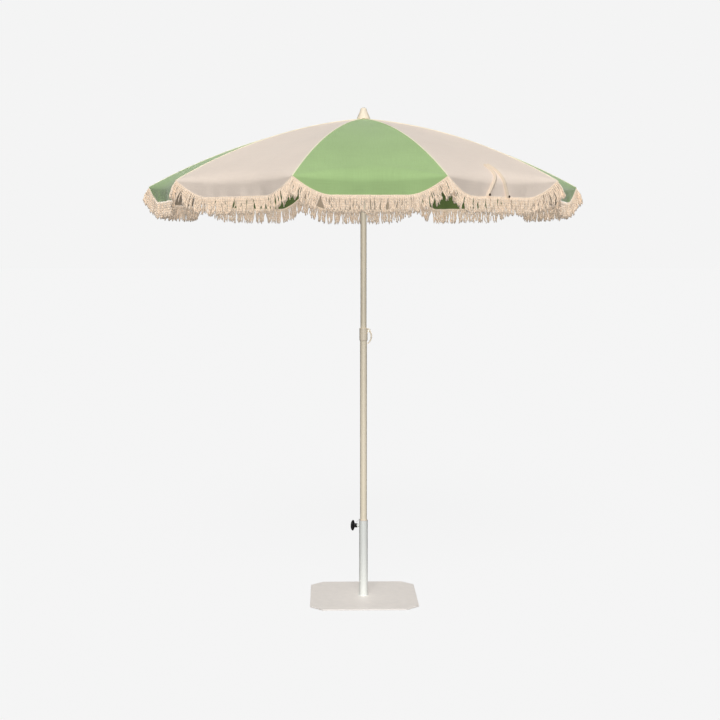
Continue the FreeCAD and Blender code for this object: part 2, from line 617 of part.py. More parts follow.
def stretcher():
    """Channel with a flat eye at the runner and an open fork that straddles the rib."""
    width = RIB_WIDTH + 2 * RUN_GAP + 2 * STRETCHER_SHEET
    inside = width - 2 * STRETCHER_SHEET
    half = STRETCHER_DEPTH / 2
    length = STRETCHER_LENGTH
    bar = box((WIDE_START, length), width, (-half, half)).fuse(cross_cylinder(half, (length, 0), width))
    bar = bar.cut(box((STRETCHER_ROOT, 2 * length), inside, (-half + STRETCHER_SHEET, half + PAST)))
    bar = bar.cut(box((length - STRETCHER_FORK, 2 * length), inside, (-half - PAST, half + PAST)))
    tongue = box((0, WIDE_START + LAP), TONGUE_THICK, (-half, half))
    body = bar.fuse([tongue, cross_cylinder(half, (0, 0), TONGUE_THICK)]).removeSplitter()
    body = body.cut(cross_cylinder(EYE_BORE, (0, 0), 2 * TONGUE_THICK))
    body = body.cut(cross_cylinder(HINGE_PIN_RADIUS, (length, 0), 2 * width))
    pieces = [body]
    for side in (-1, 1):
        shank = Part.makeCylinder(HINGE_PIN_RADIUS, STRETCHER_SHEET,
                                  FreeCAD.Vector(length, side * inside / 2, 0), AXIS_Y * side)
        head = Part.makeCylinder(RIVET_HEAD_RADIUS, RIVET_HEAD_THICK,
                                 FreeCAD.Vector(length, side * width / 2, 0), AXIS_Y * side)
        pieces.append(shank.fuse(head).removeSplitter())
    whole = Part.makeCompound(pieces)
    whole.rotate(FreeCAD.Vector(0, 0, 0), AXIS_Y, -STRETCHER_RISE)
    whole.translate(FreeCAD.Vector(STRETCHER_PIVOT_RADIUS, 0, RUNNER_Z))
    return whole


# ---------------------------------------------------------------- cloth
def wedge(gap):
    """Upright prism between two ribs, gap clear of each rib's middle plane, about the +X axis."""
    reach = WEDGE_REACH * CANOPY_RADIUS
    start = gap / math.sin(HALF_STEP)
    spread = (reach - start) * math.tan(HALF_STEP)
    corners = [FreeCAD.Vector(start, 0, 0), FreeCAD.Vector(reach, -spread, 0), FreeCAD.Vector(reach, spread, 0)]
    return Part.Face(Part.makePolygon(corners + corners[:1])).extrude(AXIS_Z * WEDGE_REACH * CROWN_CLOTH_Z)


def panel():
    """Cloth gore between two ribs, straight from rib to rib."""
    reach = (CLOTH_HOLE_RADIUS, CANOPY_RADIUS)
    band = arc_band(reach, (0, CLOTH_THICK), math.cos(HALF_STEP))
    gore = thick(band, 3 * CANOPY_RADIUS * math.sin(HALF_STEP)).common(wedge(SEAM_GAP))
    return gore.cut(cylinder(CLOTH_HOLE_RADIUS, TIP_END[1], CROWN_CLOTH_Z + CANOPY_DROP))


def hem_edge(top, end, radii, side):
    """Quarter ellipse of the hem from its end down to its level stretch, in the YZ plane."""
    centre = FreeCAD.Vector(0, side * (end - radii[0]), top)
    long_end = FreeCAD.Vector(0, radii[0], 0) + centre
    ellipse = Part.Ellipse(long_end, FreeCAD.Vector(0, 0, -radii[1]) + centre, centre)
    if side > 0:
        return Part.ArcOfEllipse(ellipse, 0, math.pi / 2).toShape()
    return Part.ArcOfEllipse(ellipse, math.pi / 2, math.pi).toShape()


def yz_line(start, end):
    return Part.LineSegment(FreeCAD.Vector(0, *start), FreeCAD.Vector(0, *end)).toShape()


def valance():
    """Scalloped strip under the panel's edge, and the fringe that hangs from its hem."""
    top = TIP_END[1] - VALANCE_TOP_GAP
    end = CANOPY_RADIUS * math.sin(HALF_STEP) - VALANCE_END_GAP
    radii = (VALANCE_CORNER, VALANCE_DEPTH - VALANCE_TOP_GAP)
    level = end - radii[0]
    hem = top - radii[1]
    cloth = [yz_line((-end, top), (end, top)), hem_edge(top, end, radii, 1),
             yz_line((level, hem), (-level, hem)), hem_edge(top, end, radii, -1)]
    upper = top - BRAID_GAP
    lower = top - FRINGE_LENGTH
    fringe = [hem_edge(upper, end, radii, -1), yz_line((-level, upper - radii[1]), (level, upper - radii[1])),
              hem_edge(upper, end, radii, 1), yz_line((end, upper), (end, lower)),
              hem_edge(lower, end, radii, 1), yz_line((level, lower - radii[1]), (-level, lower - radii[1])),
              hem_edge(lower, end, radii, -1), yz_line((-end, lower), (-end, upper))]
    place = CANOPY_RADIUS * math.cos(HALF_STEP)
    pieces = []
    for outline, thickness in ((cloth, VALANCE_THICK), (fringe, FRINGE_THICK)):
        wire = Part.Wire(Part.__sortEdges__(outline))
        slab = outward(Part.Face(wire).extrude(AXIS_X * -thickness))
        slab.translate(AXIS_X * (place - (FRINGE_THICK - thickness) / 2))
        pieces.append(slab)
    return Part.makeCompound(pieces)


# ---------------------------------------------------------------- all nodes
def nodes():
    """Every node's name and shape."""
    made = {
        "base_plate": base_plate(),
        "base_feet": base_feet(),
        "base_tube": base_tube(),
        "base_bolt": base_bolt(),
        "guide_bush": guide_bush(),
        "pressure_leaf": pressure_leaf(),
        "clamp_screw": clamp_screw(),
        "clamp_knob": clamp_knob(),
        "pole_foot_cap": pole_foot_cap(),
        "lower_pole": lower_pole(),
        "height_collar": height_collar(),
        "lever_pin": lever_pin(),
        "lock_lever": lock_lever(),
        "upper_pole": upper_pole(),
        "runner_catch": runner_catch(),
        "crown_hub": crown_hub(),
        "crown_pins": pins_at(RIB_PIVOT),
        "finial": finial(),
        "runner": runner(),
        "runner_pins": pins_at((STRETCHER_PIVOT_RADIUS, RUNNER_Z)),
    }
    one_rib, one_stretcher, one_panel, one_valance = rib(), stretcher(), panel(), valance()
    for k in range(RIB_COUNT):
        azimuth = k * RIB_STEP
        name = f"{k + 1:02d}"
        made["rib_" + name] = at_azimuth(one_rib, azimuth)
        made["stretcher_" + name] = at_azimuth(one_stretcher, azimuth)
        made["panel_" + name] = at_azimuth(one_panel, azimuth + RIB_STEP / 2)
        made["valance_" + name] = at_azimuth(one_valance, azimuth + RIB_STEP / 2)
    return made


os.makedirs("parts", exist_ok=True)
for node, shape in nodes().items():
    shape.exportStep(f"parts/{node}.step")

print("rib pivot", RIB_PIVOT, "rib tip", TIP_END, "rib eye", RIB_EYE)
print("runner z", RUNNER_Z, "closed", runner_height(CLOSED_EYE))
print("stretcher rises", STRETCHER_RISE, "closed", stretcher_slope(CLOSED_EYE))
print("lever pivot", LEVER_PIVOT, "screw thread start", LEAF_OUTER)
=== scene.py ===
"""Looks of a garden parasol: canvas, fringe, paint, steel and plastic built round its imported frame."""

import logging
import math
from dataclasses import dataclass, field
from enum import Enum

import bpy
import numpy as np
from mathutils import Matrix, Vector


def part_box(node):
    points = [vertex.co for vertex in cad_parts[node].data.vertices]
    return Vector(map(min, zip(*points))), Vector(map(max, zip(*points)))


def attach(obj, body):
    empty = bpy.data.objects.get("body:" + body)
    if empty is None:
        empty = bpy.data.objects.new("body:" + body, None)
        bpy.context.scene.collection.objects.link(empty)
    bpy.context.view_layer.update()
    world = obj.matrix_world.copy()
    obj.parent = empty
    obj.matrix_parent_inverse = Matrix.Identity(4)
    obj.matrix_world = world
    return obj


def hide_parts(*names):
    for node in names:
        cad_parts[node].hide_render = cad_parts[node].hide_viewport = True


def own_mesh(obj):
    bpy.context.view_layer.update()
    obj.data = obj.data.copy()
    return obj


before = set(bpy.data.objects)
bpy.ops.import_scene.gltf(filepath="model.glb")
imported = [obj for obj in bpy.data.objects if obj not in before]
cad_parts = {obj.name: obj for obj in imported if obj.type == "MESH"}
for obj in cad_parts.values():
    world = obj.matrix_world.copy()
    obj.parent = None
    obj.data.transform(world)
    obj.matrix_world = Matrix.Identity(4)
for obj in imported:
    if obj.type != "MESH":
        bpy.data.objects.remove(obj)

log = logging.getLogger("parasol")
MM = 0.001
FULL_PHASE = 6.28
RIM_SLOPE = math.radians(32)
STRAP_GORE = 9


class Side(Enum):
    """Which half of a gore a piece of cloth is, seen from outside."""

    LEFT = -1
    RIGHT = 1


class Canvas(Enum):
    """The two colours of the gores."""

    GREEN = "canvas_green"
    CREAM = "canvas_cream"


# ---------------------------------------------------------------- finishes
class NodeBoard:
    """Lays out one material's nodes round its Principled shader."""

    def __init__(self, name: str) -> None:
        """Makes the material.

        Args:
            name: The material's name.
        """
        self.material = bpy.data.materials.new(name)
        self.material.use_nodes = True
        self.nodes = self.material.node_tree.nodes
        self.links = self.material.node_tree.links
        self.shader = self.nodes["Principled BSDF"]

    def add(self, kind: str, sockets: dict | None = None, **settings: object) -> bpy.types.Node:
        """Adds a node.

        Args:
            kind: The node's type, without its ShaderNode prefix.
            sockets: Values of input sockets, or other nodes' output sockets to link to them.
            **settings: The node's own settings.

        Returns:
            The new node.
        """
        node = self.nodes.new("ShaderNode" + kind)
        for name, value in settings.items():
            setattr(node, name, value)
        for key, value in (sockets or {}).items():
            self.feed(node.inputs[key], value)
        return node

    def feed(self, socket: bpy.types.NodeSocket, value: object) -> None:
        """Sets a socket's value, or links another node's output to it."""
        if isinstance(value, bpy.types.NodeSocket):
            self.links.new(value, socket)
        else:
            socket.default_value = value

    def shade(self, **sockets: object) -> None:
        """Feeds the shader's sockets, named with underscores for spaces."""
        for name, value in sockets.items():
            self.feed(self.shader.inputs[name.replace("_", " ")], value)

    def noise(self, place: object, scale: float, detail: float = 3.0, rough: float = 0.5) -> object:
        """Adds a noise texture and returns its factor."""
        sockets = {"Vector": place, "Scale": scale, "Detail": detail, "Roughness": rough}
        return self.add("TexNoise", sockets).outputs["Fac"]

    def stretched(self, place: object, scale: tuple[float, float, float]) -> bpy.types.NodeSocket:
        """Scales a coordinate unevenly, for streaks."""
        return self.add("Mapping", {"Vector": place, "Scale": scale}).outputs["Vector"]

    def between(self, factor: object, low: tuple, high: tuple) -> bpy.types.NodeSocket:
        """Mixes two colours by a factor."""
        mix = self.add("Mix", data_type="RGBA")
        for index, value in ((0, factor), (6, low), (7, high)):
            self.feed(mix.inputs[index], value)
        return mix.outputs[2]

    def span(self, value: object, low: float, high: float, to_low: float = 0.0,
             to_high: float = 1.0) -> bpy.types.NodeSocket:
        """Maps a range of values to another, clamped."""
        sockets = {"Value": value, "From Min": low, "From Max": high, "To Min": to_low, "To Max": to_high}
        return self.add("MapRange", sockets).outputs["Result"]

    def sum(self, first: object, second: object, kind: str = "ADD") -> bpy.types.NodeSocket:
        """Joins two values with a math operation."""
        return self.add("Math", {0: first, 1: second}, operation=kind).outputs[0]

    def bump(self, height: object, depth: float, strength: float,
             under: object = None) -> bpy.types.NodeSocket:
        """Turns a height into a normal, on top of another normal where one is given."""
        sockets = {"Height": height, "Distance": depth, "Strength": strength}
        if under is not None:
            sockets["Normal"] = under
        return self.add("Bump", sockets).outputs["Normal"]

    def thing(self) -> bpy.types.NodeSocket:
        """The Object coordinates."""
        return self.add("TexCoord").outputs["Object"]

    def uv(self) -> bpy.types.NodeSocket:
        """The piece's own UV map, in metres along the cloth."""
        return self.add("UVMap", uv_map="cloth").outputs["UV"]


def linear(red: int, green: int, blue: int) -> tuple[float, float, float, float]:
    """Turns an 8-bit screen colour into the shader's linear one."""
    shares = [value / 255 for value in (red, green, blue)]
    return tuple(s / 12.92 if s <= 0.04045 else ((s + 0.055) / 1.055) ** 2.4 for s in shares) + (1.0,)


def tinted(colour: tuple, factor: float) -> tuple[float, float, float, float]:
    """A colour made lighter or darker."""
    return tuple(min(1.0, c * factor) for c in colour[:3]) + (1.0,)


@dataclass(frozen=True)
class ClothFinish:
    """Plain-woven canvas with slubs, soft creases and a slight fade."""

    name: str
    colour: tuple
    yarn: float = 0.9 * MM
    fade: float = 0.10
    sheen: float = 0.25

    def build(self) -> bpy.types.Material:
        """Makes the material."""
        b = NodeBoard(self.name)
        uv, place = b.uv(), b.thing()
        waves = math.pi / (10 * self.yarn)
        warp = b.add("TexWave", {"Vector": uv, "Scale": waves}, bands_direction="X").outputs["Fac"]
        weft = b.add("TexWave", {"Vector": uv, "Scale": waves}, bands_direction="Y").outputs["Fac"]
        over = b.add("TexChecker", {"Vector": uv, "Scale": 1 / self.yarn}).outputs["Fac"]
        yarns = b.add("Mix", {0: over, 2: warp, 3: weft}).outputs[0]
        slubs = b.noise(b.stretched(uv, (9, 420, 1)), 1.0, 2.0)
        slubs_across = b.noise(b.stretched(uv, (420, 9, 1)), 1.0, 2.0)
        streaks = b.sum(slubs, slubs_across)
        cloudy = b.noise(place, 3.5, 4.0, 0.6)
        tone = b.sum(b.span(streaks, 0.7, 1.3, -0.5, 0.5), b.span(cloudy, 0.35, 0.65, -0.5, 0.5))
        tone = b.sum(tone, b.span(yarns, 0.0, 1.0, -0.35, 0.35))
        colour = b.between(b.span(tone, -1.0, 1.0), tinted(self.colour, 1 - self.fade),
                           tinted(self.colour, 1 + self.fade))
        creases = b.noise(b.stretched(place, (1, 1, 1)), 22.0, 4.0, 0.55)
        soft = b.bump(creases, 4 * MM, 0.22)
        ribbed = b.bump(streaks, 0.4 * MM, 0.25, soft)
        b.shade(Base_Color=colour, Roughness=0.88, Sheen_Weight=self.sheen, Sheen_Roughness=0.45,
                Specular_IOR_Level=0.25, Normal=b.bump(yarns, 0.25 * MM, 0.5, ribbed))
        return b.material


@dataclass(frozen=True)
class YarnFinish:
    """Loosely spun cotton of the braid and the fringe, twisted along each cord."""

    name: str
    colour: tuple
    turn: float = 5.0 * MM

    def build(self) -> bpy.types.Material:
        """Makes the material."""
        b = NodeBoard(self.name)
        uv, place = b.uv(), b.thing()
        tone = b.add("Attribute", attribute_name="tone").outputs["Fac"]
        sockets = {"Vector": uv, "Scale": math.pi / (10 * self.turn), "Distortion": 0.6, "Detail": 1.0}
        twist = b.add("TexWave", sockets, bands_direction="DIAGONAL").outputs["Fac"]
        fibre = b.noise(b.stretched(place, (900, 900, 160)), 1.0, 2.0)
        # shade adds the tone attribute (each cord's own random tone, and the braid's painted shade) to the
        # twist term, which darkens the twist's grooves as painted shade.
        shade = b.sum(b.span(tone, 0.0, 1.0, -0.6, 0.6), b.span(twist, 0.0, 1.0, -0.5, 0.3))
        colour = b.between(b.span(shade, -1.0, 1.0), tinted(self.colour, 0.88), tinted(self.colour, 1.04))
        fuzz = b.bump(fibre, 0.5 * MM, 0.4)
        b.shade(Base_Color=colour, Roughness=0.92, Sheen_Weight=0.9, Sheen_Roughness=0.5,
                Specular_IOR_Level=0.15, Normal=b.bump(twist, 1.2 * MM, 0.7, fuzz))
        return b.material


@dataclass(frozen=True)
class PaintFinish:
    """Powder coat: fine orange peel, tiny specks, a little rubbed where hands and pieces slide."""

    name: str
    colour: tuple
    rough: float = 0.42
    peel: float = 700.0
    depth: float = 0.12 * MM

    def build(self) -> bpy.types.Material:
        """Makes the material."""
        b = NodeBoard(self.name)
        place = b.thing()
        peel = b.noise(place, self.peel, 2.0)
        handled = b.noise(b.stretched(place, (30, 30, 3)), 1.0, 4.0, 0.6)
        specks = b.span(b.noise(place, 1900, 1.0), 0.68, 0.76)
        base = b.between(b.span(handled, 0.35, 0.7), tinted(self.colour, 0.97), tinted(self.colour, 1.02))
        colour = b.between(specks, base, tinted(self.colour, 0.9))
        rough = b.span(handled, 0.3, 0.7, self.rough - 0.06, self.rough + 0.08)
        b.shade(Base_Color=colour, Roughness=rough, Specular_IOR_Level=0.45,
                Normal=b.bump(peel, self.depth, 0.35))
        return b.material


@dataclass(frozen=True)
class MetalFinish:
    """Bare or zinc-plated steel with fine drawing marks."""

    name: str
    colour: tuple
    rough: float = 0.35
    metal: float = 1.0

    def build(self) -> bpy.types.Material:
        """Makes the material."""
        b = NodeBoard(self.name)
        place = b.thing()
        drawn = b.noise(b.stretched(place, (1400, 1400, 60)), 1.0, 3.0)
        clouds = b.noise(place, 45.0, 4.0, 0.6)
        colour = b.between(b.span(clouds, 0.35, 0.65), tinted(self.colour, 0.86), tinted(self.colour, 1.08))
        rough = b.span(b.sum(drawn, clouds), 0.7, 1.3, self.rough - 0.1, self.rough + 0.15)
        b.shade(Base_Color=colour, Metallic=self.metal, Roughness=rough, Normal=b.bump(drawn, 0.05 * MM, 0.3))
        return b.material


@dataclass(frozen=True)
class PlasticFinish:
    """Moulded plastic or rubber with a fine spark-eroded grain."""

    name: str
    colour: tuple
    rough: float = 0.45
    grain: float = 1100.0
    depth: float = 0.15 * MM

    def build(self) -> bpy.types.Material:
        """Makes the material."""
        b = NodeBoard(self.name)
        place = b.thing()
        grain = b.noise(place, self.grain, 3.0)
        flow = b.noise(place, 18.0, 3.0)
        colour = b.between(b.span(flow, 0.3, 0.7), tinted(self.colour, 0.95), tinted(self.colour, 1.05))
        rough = b.span(flow, 0.3, 0.7, self.rough - 0.05, self.rough + 0.07)
        b.shade(Base_Color=colour, Roughness=rough, Specular_IOR_Level=0.4,
                Normal=b.bump(grain, self.depth, 0.4))
        return b.material


FINISHES = {finish.name: finish for finish in (
    ClothFinish("canvas_green", linear(163, 192, 132)),
    ClothFinish("canvas_cream", linear(236, 221, 207), fade=0.05),
    # Darker copies of the two canvases for the cloth's inner face: painted shade for the canopy's underside.
    ClothFinish("canvas_green_inside", linear(100, 120, 66)),
    ClothFinish("canvas_cream_inside", linear(186, 168, 146), fade=0.05),
    ClothFinish("binding_cream", linear(246, 238, 212), fade=0.03),
    ClothFinish("strap_cream", linear(226, 208, 186), fade=0.03),
    YarnFinish("fringe_cotton", linear(250, 227, 201)),
    PaintFinish("pole_paint", linear(241, 229, 205)),
    PaintFinish("rib_paint", linear(236, 226, 208)),
    PaintFinish("tube_steel", linear(229, 231, 226), rough=0.38),
    PaintFinish("base_steel", linear(252, 245, 238), rough=0.5, depth=0.2 * MM),
    PlasticFinish("cream_plastic", linear(240, 227, 205)),
    PlasticFinish("bush_plastic", linear(218, 205, 196), rough=0.5),
    PlasticFinish("black_plastic", linear(26, 26, 27), rough=0.36),
    PlasticFinish("rubber", linear(34, 34, 35), rough=0.75, grain=500),
    MetalFinish("leaf_steel", linear(172, 172, 170), rough=0.4),
    MetalFinish("zinc", linear(190, 190, 186), rough=0.36),
    MetalFinish("snap_brass", linear(92, 74, 56), rough=0.42),
)}


class Finishes:
    """The finishes as materials, each made once and shared."""

    def __init__(self) -> None:
        """Starts with no material made."""
        self.made: dict[str, bpy.types.Material] = {}

    def get(self, name: str) -> bpy.types.Material:
        """The finish of that name, as a material."""
        if name not in self.made:
            self.made[name] = FINISHES[name].build()
        return self.made[name]

    def dress(self, piece: bpy.types.Object, name: str, slot: str | None = None) -> None:
        """Gives a new piece its finish.

        Args:
            piece: The piece.
            name: The finish.
            slot: Not used.
        """
        piece.data.materials.clear()
        piece.data.materials.append(self.get(name))


# ---------------------------------------------------------------- modelling helpers
def deselect() -> None:
    """Leaves nothing selected, so that an operator acts only on what is picked next."""
    if bpy.context.mode != "OBJECT":
        bpy.ops.object.mode_set(mode="OBJECT")
    bpy.ops.object.select_all(action="DESELECT")


def take(piece: bpy.types.Object) -> bpy.types.Object:
    """Makes one piece the only selected and active one."""
    deselect()
    piece.select_set(True)
    bpy.context.view_layer.objects.active = piece
    return piece


def named(name: str) -> bpy.types.Object:
    """Names the active object and its mesh, and leaves it the only one selected."""
    piece = bpy.context.active_object
    piece.name = piece.data.name = name
    return take(piece)


def settle(piece: bpy.types.Object) -> bpy.types.Object:
    """Puts a piece's place into its mesh, so that its object sits at the origin."""
    take(piece)
    bpy.ops.object.transform_apply(location=True, rotation=True, scale=True)
    return piece


def place_by(piece: bpy.types.Object, matrix: Matrix) -> bpy.types.Object:
    """Moves a piece by a matrix and puts its place into its mesh."""
    piece.matrix_world = matrix @ piece.matrix_world
    return settle(piece)


def finish_with(piece: bpy.types.Object, kind: str, **settings: object) -> None:
    """Adds a modifier and applies it.

    Args:
        piece: The piece.
        kind: The modifier's type.
        **settings: The modifier's settings.
    """
    take(piece)
    modifier = piece.modifiers.new(kind.lower(), kind)
    for key, value in settings.items():
        setattr(modifier, key, value)
    bpy.ops.object.modifier_apply(modifier=modifier.name)


def smooth(piece: bpy.types.Object, angle: float = 35.0) -> None:
    """Shades smooth over all edges flatter than an angle in degrees."""
    take(piece)
    bpy.ops.object.shade_smooth_by_angle(angle=math.radians(angle))


def pick_faces(piece: bpy.types.Object, wanted: object) -> None:
    """Selects in edit mode the faces for which wanted(face) is true."""
    take(piece)
    bpy.ops.object.mode_set(mode="EDIT")
    bpy.ops.mesh.select_mode(type="FACE")
    bpy.ops.mesh.select_all(action="DESELECT")
    bpy.ops.object.mode_set(mode="OBJECT")
    for polygon in piece.data.polygons:
        polygon.select = bool(wanted(polygon))
    bpy.ops.object.mode_set(mode="EDIT")


def draw_up(rise: float, scale: float) -> None:
    """Extrudes the selected face upwards and scales its new outline about the Z axis."""
    bpy.ops.mesh.extrude_region_move(TRANSFORM_OT_translate={"value": (0, 0, rise)})
    bpy.ops.transform.resize(value=(scale, scale, 1), center_override=(0, 0, 0))


def turned_piece(name: str, rings: list[tuple[float, float]], sides: int = 64) -> bpy.types.Object:
    """Turns a solid of revolution about Z from a disc drawn up ring by ring.

    Args:
        name: The piece's name.
        rings: Radius and height of each ring, from the bottom to the top.
        sides: How many sides the disc has.

    Returns:
        The piece, standing about the origin's Z axis.
    """
    radius, low = rings[0]
    rise = rings[1][1] - low
    middle = (0, 0, low + rise / 2)
    bpy.ops.mesh.primitive_cylinder_add(vertices=sides, radius=radius, depth=rise, location=middle)
    piece = settle(named(name))
    pick_faces(piece, lambda face: face.normal.z > 0.9)
    first = rings[1][0] / radius
    bpy.ops.transform.resize(value=(first, first, 1), center_override=(0, 0, 0))
    for (last_radius, last), (next_radius, height) in zip(rings[1:], rings[2:]):
        draw_up(height - last, next_radius / last_radius)
    bpy.ops.object.mode_set(mode="OBJECT")
    return piece


def set_uv(piece: bpy.types.Object, values: np.ndarray) -> None:
    """Writes each vertex's place along the cloth, in metres, to the UV map."""
    mesh = piece.data
    layer = mesh.uv_layers.get("cloth") or mesh.uv_layers.new(name="cloth")
    loops = np.zeros(len(mesh.loops), np.int32)
    mesh.loops.foreach_get("vertex_index", loops)
    layer.data.foreach_set("uv", values[loops].astype(np.float32).ravel())
    for other in [one for one in mesh.uv_layers if one.name != "cloth"]:
        mesh.uv_layers.remove(other)


def set_tone(piece: bpy.types.Object, values: np.ndarray) -> None:
    """Writes each vertex's tone, 0 dark to 1 light, as an attribute."""
    attribute = piece.data.attributes.new("tone", "FLOAT", "POINT")
    attribute.data.foreach_set("value", values.astype(np.float32))


def level(angle: float) -> np.ndarray:
    """The level direction at an azimuth in radians."""
    return np.array([math.cos(angle), math.sin(angle), 0.0])


def run_along(line: np.ndarray) -> np.ndarray:
    """Distance of each of a line's points from its first, along the line."""
    return np.concatenate([[0], np.cumsum(np.linalg.norm(np.diff(line, axis=0), axis=1))])


def tube_faces(rings: int, sides: int, first: int = 0) -> list[list[int]]:
    """Faces of a closed tube whose points run along one side after the other.

    Args:
        rings: How many points each side has.
        sides: How many sides there are.
        first: Number of the tube's first point.

    Returns:
        The faces between the sides, and the two ends.
    """
    faces = []
    for k in range(sides):
        here, there = first + k * rings, first + (k + 1) % sides * rings
        faces += [[here + r, here + r + 1, there + r + 1, there + r] for r in range(rings - 1)]
    starts = [first + k * rings for k in range(sides)]
    return faces + [starts, [start + rings - 1 for start in reversed(starts)]]


def face_outwards(piece: bpy.types.Object) -> None:
    """Turns all of a piece's faces outwards."""
    take(piece)
    bpy.ops.object.mode_set(mode="EDIT")
    bpy.ops.mesh.select_all(action="SELECT")
    bpy.ops.mesh.normals_make_consistent(inside=False)
    bpy.ops.object.mode_set(mode="OBJECT")


def mesh_piece(name: str, points: np.ndarray, faces: list, uv: np.ndarray,
               tone: np.ndarray) -> bpy.types.Object:
    """Makes a soft piece from its points and faces, and selects it."""
    mesh = bpy.data.meshes.new(name)
    mesh.from_pydata(points.tolist(), [], faces)
    mesh.update()
    piece = bpy.data.objects.new(name, mesh)
    bpy.context.scene.collection.objects.link(piece)
    set_uv(piece, uv)
    set_tone(piece, tone)
    mesh.polygons.foreach_set("use_smooth", [True] * len(mesh.polygons))
    return take(piece)


# ---------------------------------------------------------------- the canopy's shape
@dataclass
class CanopyForm:
    """The stretched cloth's shape. A gore's own frame has X out along its middle, Y across and Z up.

    Places down the cloth go from 0 at the crown by 1 at the rim to 2 at the hem. The cloth bends over the rim
    between the places shoulder and brow.
    """

    ribs: int = 10
    crown_radius: float = 30 * MM
    crown_under_hub: float = 5 * MM
    bow: float = 47 * MM
    tip_over_valance: float = 3 * MM
    hole: float = 14 * MM
    sag: float = 9 * MM
    draw_in: float = 24 * MM
    round_out: float = 60 * MM
    round_down: float = 40 * MM
    round_least: float = 4 * MM
    hem_depth: float = 79 * MM
    hem_corner: float = 150 * MM
    hem_curve: float = 1.7
    hem_least: float = 7 * MM
    tip_gap: float = 2 * MM
    shoulder: float = 0.86
    brow: float = 1.45
    ripple: float = 5 * MM
    wrinkle: float = 2.2 * MM
    wrinkle_reach: float = 130 * MM
    wrinkle_start: float = 50 * MM
    gather: float = 0.9 * MM
    gather_reach: float = 70 * MM
    gathers: float = 40
    puffs: int = 5
    puff: float = 0.45 * MM
    step: float = field(init=False)
    crown_height: float = field(init=False)
    tip_radius: float = field(init=False)
    tip_height: float = field(init=False)
    arc_radius: float = field(init=False)
    centre_x: float = field(init=False)
    centre_z: float = field(init=False)
    out: float = field(init=False)
    aside: float = field(init=False)
    rim: float = field(init=False)
    half_width: float = field(init=False)
    cloth_share: float = field(init=False)

    def __post_init__(self) -> None:
        """Reads the canopy's height and reach from the frame, and works out the ribs' arc."""
        self.step = 2 * math.pi / self.ribs
        self.crown_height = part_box("crown_hub")[1].z + self.crown_under_hub
        self.tip_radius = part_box("rib_01")[1].x
        self.tip_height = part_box("valance_01")[1].z + self.tip_over_valance
        run = self.tip_radius - self.crown_radius
        rise = self.tip_height - self.crown_height
        chord = math.hypot(run, rise)
        self.arc_radius = chord * chord / (8 * self.bow) + self.bow / 2
        down = self.arc_radius - self.bow
        self.centre_x = (self.tip_radius + self.crown_radius) / 2 + down * rise / chord
        self.centre_z = (self.tip_height + self.crown_height) / 2 - down * run / chord
        self.out = math.cos(self.step / 2)
        self.aside = math.sin(self.step / 2)
        self.rim = self.tip_radius * self.out
        self.half_width = self.tip_radius * self.aside
        self.cloth_share = 1 - self.tip_gap / 4 / self.half_width

    def height(self, reach: np.ndarray) -> np.ndarray:
        """Height of the ribs' arc at a distance from the pole's axis."""
        return self.centre_z + np.sqrt(self.arc_radius ** 2 - (reach - self.centre_x) ** 2)

    def middle_azimuth(self, gore: int) -> float:
        """Azimuth of a gore's middle, in radians."""
        return (gore - 0.5) * self.step

    def rib_azimuth(self, rib: int) -> float:
        """Azimuth of a rib, in radians."""
        return (rib - 1) * self.step

    def tip_of(self, rib: int) -> Vector:
        """The tip of a rib at rest."""
        return Vector(level(self.rib_azimuth(rib)) * self.tip_radius) + Vector((0, 0, self.tip_height))

    def next_rib(self, gore: int) -> int:
        """The rib on a gore's far side, counter-clockwise."""
        return gore % self.ribs + 1

    def rib_of(self, gore: int, side: Side) -> int:
        """The rib that holds one half of a gore. The right half is the counter-clockwise one."""
        return self.next_rib(gore) if side is Side.RIGHT else gore

    def hem_drop(self, across: np.ndarray) -> np.ndarray:
        """How far the hem hangs under the rib tips at a place across the gore, in metres from its middle."""
        end = self.half_width - self.tip_gap
        level = end - self.hem_corner
        share = np.clip((np.abs(across) - level) / self.hem_corner, 0, 1)
        return self.hem_least + (self.hem_depth - self.hem_least) * (1 - share ** self.hem_curve)

    def waves(self, gore: int, across: np.ndarray) -> np.ndarray:
        """The hem's ripples out of the valance's plane, from -1 to 1 or so."""
        dice = np.random.default_rng(400 + gore)
        total = np.zeros_like(across)
        for length, share in ((0.29, 0.45), (0.17, 0.35), (0.093, 0.25), (0.055, 0.12)):
            phase = dice.uniform(0, 2 * math.pi)
            total += share * np.sin(2 * math.pi * across / (length * dice.uniform(0.85, 1.15)) + phase)
        return total * (1 - (np.abs(across) / self.half_width) ** 4)

    def creases(self, gore: int, across: np.ndarray, reach: np.ndarray) -> np.ndarray:
        """Height of the creases that pull from the rib tips and gather at the crown, in metres."""
        dice = np.random.default_rng(700 + gore)
        total = np.zeros_like(across)
        for corner in (-1, 1):
            dx = (self.rim - reach) / math.cos(RIM_SLOPE)
            dy = self.half_width - corner * across
            far = np.hypot(dx, dy)
            turn = np.arctan2(dx, np.maximum(dy, 1e-4))
            fan = np.zeros_like(across)
            for count, share in ((7, 0.5), (12, 0.6), (19, 0.35)):
                fan += share * np.sin(count * turn * dice.uniform(0.9, 1.1) + dice.uniform(0, FULL_PHASE))
            strength = np.exp(-far / self.wrinkle_reach) * np.clip(far / self.wrinkle_start, 0, 1)
            total += self.wrinkle * fan * strength
        pull = self.gather * np.exp(-np.maximum(reach, 0) / self.gather_reach)
        turn = across / np.maximum(reach, 20 * MM)
        total += pull * np.sin(turn * self.gathers + dice.uniform(0, FULL_PHASE))
        for _ in range(self.puffs):
            out_rate, side_rate = dice.uniform(3, 13, 2)
            along = np.sin(out_rate * reach + dice.uniform(0, FULL_PHASE))
            total += self.puff * along * np.sin(side_rate * across * 2 + dice.uniform(0, FULL_PHASE))
        return total

